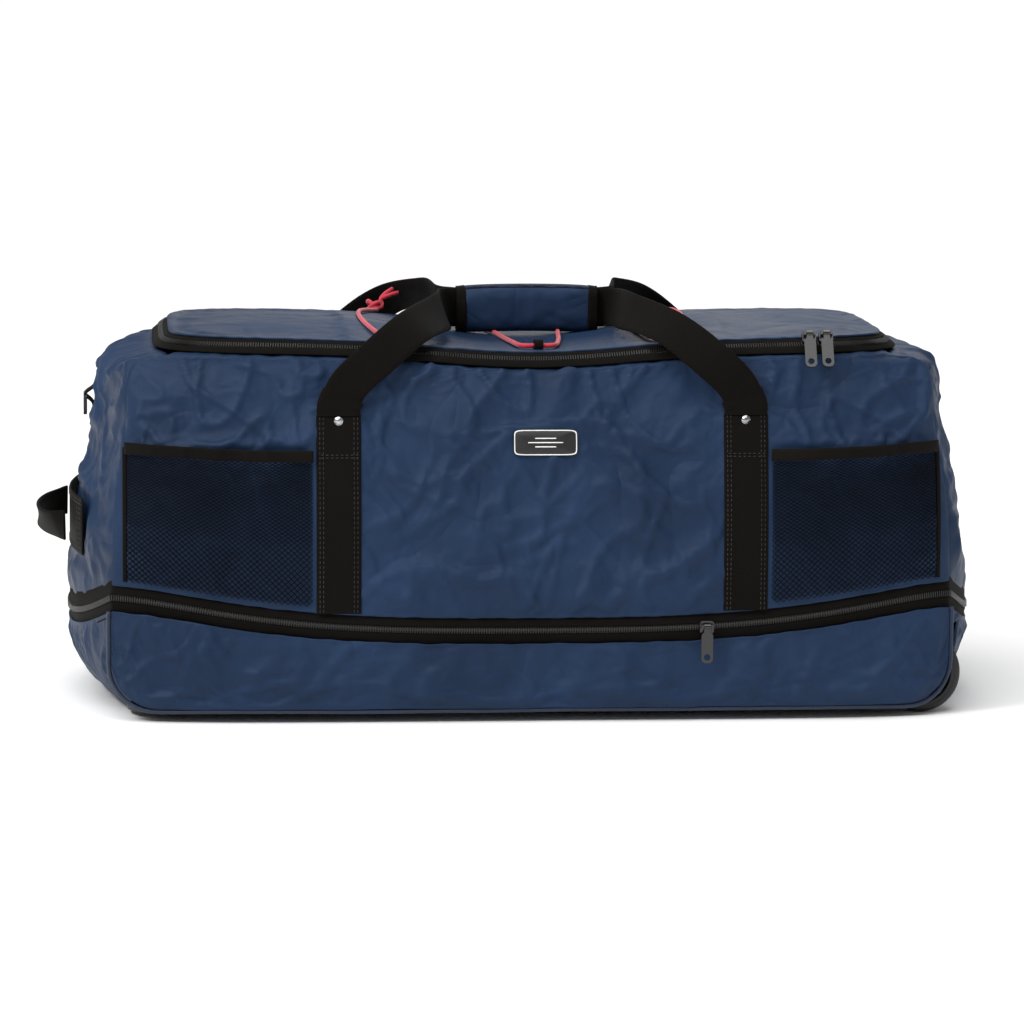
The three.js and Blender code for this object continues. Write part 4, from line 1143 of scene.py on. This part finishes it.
def make_handles():
    reach = SPACING / 2
    fold, grip_z = 263 * MM, GRIP_Z
    y0 = float(side_point(-1, 0, level_at(fold), 3.2 * MM)[1])
    half_grip = (high("front_grip_wrap")[0] - low("front_grip_wrap")[0]) / 2
    run = [(reach, y0, fold + 7 * MM, (1, 0, 0)), (reach - 8 * MM, y0 - 2 * MM, fold + 24 * MM,
                                                   (0.9, 0, 0.4)),
           (reach - 34 * MM, y0 - 1 * MM, fold + 49 * MM, (0.75, 0, 0.62)),
           (reach - 62 * MM, y0 + 22 * MM, grip_z - 5 * MM, (0.66, 0.25, 0.66)),
           (reach - 92 * MM, y0 + 82 * MM, grip_z + 4 * MM, (0.35, 0.45, 0.8)),
           (half_grip + 12 * MM, -9 * MM, grip_z + 1 * MM, (0.1, 0, 1)), (half_grip - 6 * MM, -3.6 * MM,
                   grip_z, (0, 0, 1)),
           (0, -3.4 * MM, grip_z, (0, 0, 1))]
    centre = (low("front_grip_wrap")[0] + high("front_grip_wrap")[0]) / 2
    right = [((centre + x, y, z), w) for x, y, z, w in run]
    left = [((centre - x, y, z), (-w[0], w[1], w[2])) for x, y, z, w in run[:-1]]
    both = left + right[::-1]
    share = np.linspace(0, 1, 150)
    line, across = catmull([p for p, _ in both], share), catmull([w for _, w in both], share)
    for name, side in SIDES:
        flip = np.array([1, -side, 1.0])
        body = f"{name}_handle"
        web_piece(f"{name}_handle_webbing", line * flip, across * flip, body, body, width=WEBBING - 4 * MM)
        make_grip(name, side, centre, half_grip, grip_z)


def make_folds():
    """The webbing between each rivet and its handle."""
    middle = (low("front_grip_wrap")[0] + high("front_grip_wrap")[0]) / 2
    for name, side in SIDES:
        for hand, k in ENDS:
            strap_x, handle_x = STRAP_X[hand], middle + k * SPACING / 2
            bottom = side_point(side, strap_x, level_at(0.2612), WEB_THICK + 1.8 * MM)
            foot_y = side * abs(float(side_point(-1, 0, level_at(0.263), 3.2 * MM)[1]))
            points = [bottom, (strap_x, bottom[1], 0.2635), (handle_x, foot_y + side * 0.8 * MM, 0.269),
                      (handle_x - k * 4 * MM, foot_y + side * 0.8 * MM, 0.279)]
            line = catmull(points, np.linspace(0, 1, 26))
            across = catmull([(1, 0, 0), (1, 0, 0), (1, 0, 0.05 * -k), (0.96, 0, 0.28 * -k)],
                             np.linspace(0, 1, 26))
            made = outward_faces(sweep(f"{name}_{hand}_fold", line, across,
                                       flat_section(WEBBING - 1 * MM, WEB_THICK, inner=10),
                                       WEB))
            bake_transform(made)


def make_grip(name, side, centre, half, z0):
    """Padded half of the grip, closed over the top and the bottom of the webbing."""
    s = np.linspace(-1, 1, 71)[:, None]
    a = np.linspace(-0.5, 0.5, 33)[None, :] * math.pi
    plump = 1 - 0.16 * np.abs(s) ** 6
    tall, deep = 18.6 * MM * (1 - 0.05 * np.abs(s) ** 8), 10.0 * MM * plump
    power = 0.62
    y = 0.8 * MM + deep * np.abs(np.cos(a)) ** power
    z = z0 + tall * np.sign(np.sin(a)) * np.abs(np.sin(a)) ** power
    bow = -1.5 * MM * s ** 2
    wrinkle = 0.5 * MM * noise(s * 6 + side, a * 2.0, 40 + side)
    x = centre + half * s + 0 * a
    p = np.stack([x, side * (y + wrinkle * np.cos(a)), z + bow + 0 * s], -1)
    made = grid(f"{name}_grip_pad", p[::side], NAVY)
    made = settle(thicken(made, 2.2 * MM))
    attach(made, f"{name}_handle")
    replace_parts(made, f"{name}_grip_wrap")
    # bound edges at both ends, and a narrow one along the top
    n = normals_of(p)
    if n[35, 16, 1] * side < 0:
        n = -n
    for word, part in (("left", s[:, 0] < -0.86), ("right", s[:, 0] > 0.86)):
        strip = (p + n * 0.9 * MM)[part]
        before = [-2.2 * MM if word == "left" else 0, 0, 0]
        after = [2.2 * MM if word == "right" else 0, 0, 0]
        strip = np.concatenate([strip[:1] + before, strip, strip[-1:] + after])
        band = settle(thicken(grid(f"{name}_grip_{word}_binding", strip[::side], BINDING), 1.8 * MM))
        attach(band, f"{name}_handle")
    top = slice(26, 33)
    band = settle(thicken(grid(f"{name}_grip_top_binding", (p + n * 0.8 * MM)[2:-2, top][::side], BINDING),
                          1.4 * MM))
    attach(band, f"{name}_handle")
    face = p + n * 0.3 * MM
    rows = [(face[10:-10, 24], n[10:-10, 24]), (face[10:-10, 6], n[10:-10, 6])]
    stitches(f"{name}_grip_stitching", rows, NAVY_THREAD, f"{name}_handle", slot="navy_nylon")


# ---------- pockets and badge ----------
def make_pockets():
    edge = SPACING / 2 + WEBBING / 2 + 3 * MM
    mouth = level_at(POCKET_TOP)
    stitched = []
    for hand, k in ENDS:
        inner, outer = MIDDLE + k * edge, k * (SEAM - 12 * MM)

        def net(s, v, out=0.0):
            p = side_point(-1, inner + (outer - inner) * s, 0.004 + v * (mouth - 0.004))
            loose = 0.75 + 0.35 * noise(s * 3.5 + 0.4 * v + 3 * k, v * 2.2 + s, 90 + k)
            swell = 2.8 * MM + POCKET_BULGE * loose * np.abs(np.sin(math.pi * s)) ** 0.8 * np.clip(v, 0,
                    1) ** 0.8
            swell = swell + 3.0 * MM * creases(p[..., 0], p[..., 2], 95 + k, 0.03, -0.9,
                                               2.5) * np.sin(math.pi * s)
            p[..., 1] -= np.minimum(swell, 16 * MM) + out
            return p

        wide, tall = abs(outer - inner), POCKET_TOP - WALL[0, 2]
        cells = int(wide / (2.6 * MM)), int(tall / (1.9 * MM))
        i, j = np.meshgrid(np.arange(cells[0] + 1), np.arange(cells[1] + 1), indexing="ij")
        points = net(i / cells[0], j / cells[1])
        number = lambda a, b: a * (cells[1] + 1) + b
        quads = [(number(a - 1, b), number(a, b - 1), number(a + 1, b), number(a, b + 1))
                 for a in range(1, cells[0]) for b in range(1, cells[1]) if (a + b) % 2]
        netting = raw(f"{hand}_pocket_net", points.reshape(-1, 3), quads, NET)
        wire = netting.modifiers.new("threads", "WIREFRAME")
        wire.thickness, wire.use_even_offset, wire.use_relative_offset = 1.2 * MM, False, False
        settle(netting)
        netting.data.polygons.foreach_set("use_smooth", [True] * len(netting.data.polygons))
        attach(netting, "upper")
        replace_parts(netting, f"{hand}_mesh_pocket")

        # the folded binding along the mouth, and narrow ones down the sides
        s = np.linspace(0, 1, 70)
        t = np.linspace(0, 1, 6)
        mouth_line = net(s, np.ones_like(s))
        away, over = np.array([0, -1.2, 0]) * MM, np.array([0, -1.2, 9.5]) * MM
        strip = mouth_line[:, None] + away + t[None, :, None] * over
        strip[..., 1] += (t * (t - 1) * 4 * 0.5 * MM)[None]
        cover = settle(thicken(grid(f"{hand}_pocket_hem", strip[::-k], BINDING), 2.2 * MM))
        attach(cover, "upper")
        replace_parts(cover, f"{hand}_pocket_binding")
        face = strip[:, 1] + np.array([0, -0.35 * MM, 0])
        stitched += [(face, np.tile([0, -1.0, 0], (70, 1))), (face + [0, -0.1 * MM, 1.6 * MM],
                                                              np.tile([0, -1.0, 0], (70, 1)))]
        v = np.linspace(0, 1.05, 30)
        side = net(np.ones_like(v), v) + np.array([k * 1.0 * MM, 0.4 * MM, 0])
        web_piece(f"{hand}_pocket_side_binding", side, np.tile([1.0, 0, 0], (30, 1)), "upper", width=4 * MM,
                  thick=1.2 * MM, mat=BINDING)
    stitches("pocket_stitching", stitched, BLACK_THREAD, "upper", slot="black_tape")


def make_badge():
    lo, hi = low("badge"), high("badge")
    centre, half = (lo + hi) / 2, (hi - lo) / 2
    v = level_at(centre[2])
    slope = side_point(-1, centre[0], v + 0.05) - side_point(-1, centre[0], v)
    up = slope / np.linalg.norm(slope)
    right = np.array([1.0, 0, 0])
    out = np.cross(right, up)
    tall = 22 * MM / 2
    middle = side_point(-1, centre[0], v) + out * 2.6 * MM

    def plate(name, wide, high_, thick, lift, mat, hole=None):
        t = np.linspace(0, 2 * math.pi, 64, endpoint=False)
        power = 2 / 9

        def ring(w, h, d):
            a = w * np.sign(np.cos(t)) * np.abs(np.cos(t)) ** power
            b = h * np.sign(np.sin(t)) * np.abs(np.sin(t)) ** power
            return middle + a[:, None] * right + b[:, None] * up + (lift + d) * out

        bevel = min(0.35 * MM, thick / 2)
        if hole:
            rings = [ring(*hole, 0), ring(wide, high_, 0), ring(wide, high_, thick), ring(*hole,
                    thick), ring(*hole, 0)]
        else:
            flat = lambda d: np.repeat((middle + (lift + d) * out)[None], 64, 0)
            rings = [flat(0), ring(wide, high_, 0), ring(wide, high_, thick - bevel),
                     ring(wide - bevel, high_ - bevel, thick), flat(thick)]
        p = np.stack([np.concatenate([r, r[:1]]) for r in rings], 1)
        made = outward_faces(grid(name, p, mat, closed=True))
        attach(made, "upper")
        return made

    wide = half[0]
    body = plate("badge_plate", wide, tall, 2.0 * MM, 0, BADGE_FACE)
    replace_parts(body, "badge")
    rim = 0.9 * MM
    plate("badge_border", wide - 0.2 * MM, tall - 0.2 * MM, 0.35 * MM, 1.9 * MM, BADGE_EDGE,
          hole=(wide - 0.2 * MM - rim, tall - 0.2 * MM - rim))
    # a plain generic motif: three short level bars
    middle_before = middle.copy()
    for i, (w, h) in enumerate(((9, 0.9), (15, 0.9), (9, 0.9))):
        middle[:] = middle_before + up * (i - 1) * 3.6 * MM
        plate(f"badge_bar_{i + 1}", w * MM, h * MM / 2, 0.3 * MM, 1.95 * MM, BADGE_EDGE)
    middle[:] = middle_before


# ---------- left end ----------
def make_end_fittings():
    z = (low("end_band")[2] + high("end_band")[2]) / 2
    v = level_at(z)
    y = np.linspace(low("end_band")[1], high("end_band")[1], 60)
    line = end_point(-1, y, v, 4 * MM)
    line[:, 2] = z
    up = np.tile([0, 0, 1.0], (60, 1))
    web_piece("end_band_webbing", line, up, "upper", "end_band", width=50 * MM)
    runs = []
    for dz in (-22 * MM, -19 * MM, 19 * MM, 22 * MM):
        runs.append((line + [-1.0 * MM, 0, dz], np.tile([-1.0, 0, 0], (60, 1))))
    for at in (-88, -84, -76, 76, 84, 88):
        spot = end_point(-1, at * MM, v, 5.0 * MM)
        row = np.stack([np.full(12, spot[0]), np.full(12, at * MM), z + np.linspace(-21, 21, 12) * MM], -1)
        runs.append((row, np.tile([-1.0, 0, 0], (12, 1))))
    stitches("end_band_stitching", runs, BLACK_THREAD, "upper")
    # haul loop: narrower webbing, standing off the band, with a slight twist
    half = 70 * MM
    share = np.array([-1, -0.86, -0.5, 0, 0.5, 0.86, 1])
    loop = []
    for s in share:
        p = end_point(-1, half * s, v, 14 * MM + 17 * MM * (1 - s * s) ** 0.7)
        p[2] = z + 2.5 * MM * math.sin(2.2 * s)
        loop.append(p)
    t = np.linspace(0, 1, 110)
    line = catmull(loop, t)
    lean = 0.45 * np.sin((t - 0.5) * 2 * math.pi)
    across = np.stack([np.sin(lean), 0 * t, np.cos(lean)], -1)
    web_piece("haul_loop_webbing", line, across, "haul_handle", "haul_handle", width=26 * MM, thick=2.4 * MM)
    zs = np.linspace(low("ring_tab")[2], high("ring_tab")[2], 60)
    line = np.array([end_point(-1, 0.0, level_at(q), 2.6 * MM) for q in zs])
    line[:, 2] = zs
    line[:, 0] -= 8.5 * MM * np.exp(-((zs - RING_BAR_Z) / (5 * MM)) ** 2)
    web_piece("ring_tab_webbing", line, np.tile([0, 1.0, 0], (60, 1)), "upper", "ring_tab", width=25 * MM)


# ---------- wheels ----------
def make_wheels():
    for name, _ in SIDES:
        lo, hi = low(f"{name}_wheel_tyre"), high(f"{name}_wheel_tyre")
        centre, r, half = (lo + hi) / 2, (hi[2] - lo[2]) / 2, (hi[1] - lo[1]) / 2
        inner = 26.4 * MM
        a = np.linspace(0, math.pi / 2, 6)
        shoulder = [(r - 4 * MM + 4 * MM * math.sin(q), half - 4 * MM + 4 * MM * math.cos(q)) for q in a]
        groove = [(r, 2.2 * MM), (r - 0.9 * MM, 1.6 * MM), (r - 0.9 * MM, -1.6 * MM), (r, -2.2 * MM)]
        side_ring = [(inner, half), (inner + 1.2 * MM, half), (inner + 2 * MM,
                                                               half - 0.7 * MM), (inner + 3.4 * MM, half)]
        profile = [*side_ring, *shoulder, *groove, *[(p, -q) for p, q in shoulder[::-1]],
                   *[(p, -q) for p, q in side_ring[::-1]], side_ring[0]]
        tyre = outward_faces(lathe(f"{name}_tyre", profile, RUBBER, "y", centre, 96))
        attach(tyre, f"{name}_wheel")
        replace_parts(tyre, f"{name}_wheel_tyre")
        for sign in (-1, 1):
            cap = [(1e-5, half + 0.2 * MM), (4.5 * MM, half), (7 * MM, half - 0.8 * MM), (8 * MM,
                    half - 2.2 * MM),
                   (1e-5, half - 2.2 * MM)]
            word = "outer" if sign * centre[1] > 0 else "inner"
            piece = lathe(f"{name}_hub_{word}_cap", [(p, sign * q) for p, q in cap], HUB, "y", centre, 40)
            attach(outward_faces(piece), f"{name}_wheel")


def bevelled(node, mat, width=0.6 * MM, segments=2, angle=35):
    """A CAD node that is shown as it is, with softened edges and its own material."""
    shown = NODES[node]
    shown.data.materials.clear()
    shown.data.materials.append(mat)
    m = shown.modifiers.new("edges", "BEVEL")
    m.width, m.segments, m.limit_method, m.angle_limit = width, segments, "ANGLE", math.radians(angle)
    m.harden_normals = False
    for p in shown.data.polygons:
        p.use_smooth = True
    smooth = shown.modifiers.new("flat faces", "WEIGHTED_NORMAL")
    smooth.keep_sharp = True
    return shown


def dress_frame():
    for node in ("skid_front", "skid_middle", "skid_back"):
        bevelled(node, PLASTIC, 1.0 * MM)
    bevelled("bottom_plate", PLASTIC, 0.7 * MM)
    bevelled("base_board", BOARD, 0.5 * MM)
    for name, _ in SIDES:
        bevelled(f"{name}_wheel_housing", PLASTIC, 1.0 * MM)
        bevelled(f"{name}_wheel_hub", HUB, 0.5 * MM)
        bevelled(f"{name}_axle", STEEL, 0.4 * MM)
    for zip_name in ("belt", "lid_left", "lid_right"):
        bevelled(f"{zip_name}_slider", ENAMEL, 0.5 * MM)
        bevelled(f"{zip_name}_pull", ENAMEL, 0.4 * MM)
    bevelled("shoulder_ring", PLASTIC, 0.6 * MM)


# ---------- the bag ----------
make_stage()
panels = []
for NAME, SIDE in SIDES:
    panels.append((make_side_wall(f"{NAME}_wall", SIDE, 100 + SIDE * 10), "upper", f"{NAME}_panel",
                   1.6 * MM))
    panels.append((make_lower_side(f"{NAME}_lower_wall", SIDE, 200 + SIDE * 10), "base",
                   f"{NAME}_lower_panel", 1.4 * MM))
for NAME, SIDE in ENDS:
    panels.append((make_end_wall(f"{NAME}_end_wall", SIDE, 140 + SIDE * 10), "upper", f"{NAME}_end_panel",
                   1.6 * MM))
    panels.append((make_lower_end(f"{NAME}_lower_end", SIDE, 240 + SIDE * 10), "base", f"{NAME}_lower_panel",
                   1.4 * MM))
panels.append((make_lid(), "lid", "lid_panel", 1.6 * MM))
crumple_all()
for PIECE, BODY, NODE, THICK in panels:
    finish_panel(PIECE, THICK)
    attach(PIECE, BODY)
    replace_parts(PIECE, NODE)
make_belt()
make_piping()
make_floor_gusset()
make_lid_zip()
make_lid_hinge()
make_bungee()
make_straps()
make_handles()
make_folds()
make_pockets()
make_badge()
make_end_fittings()
make_wheels()
dress_frame()
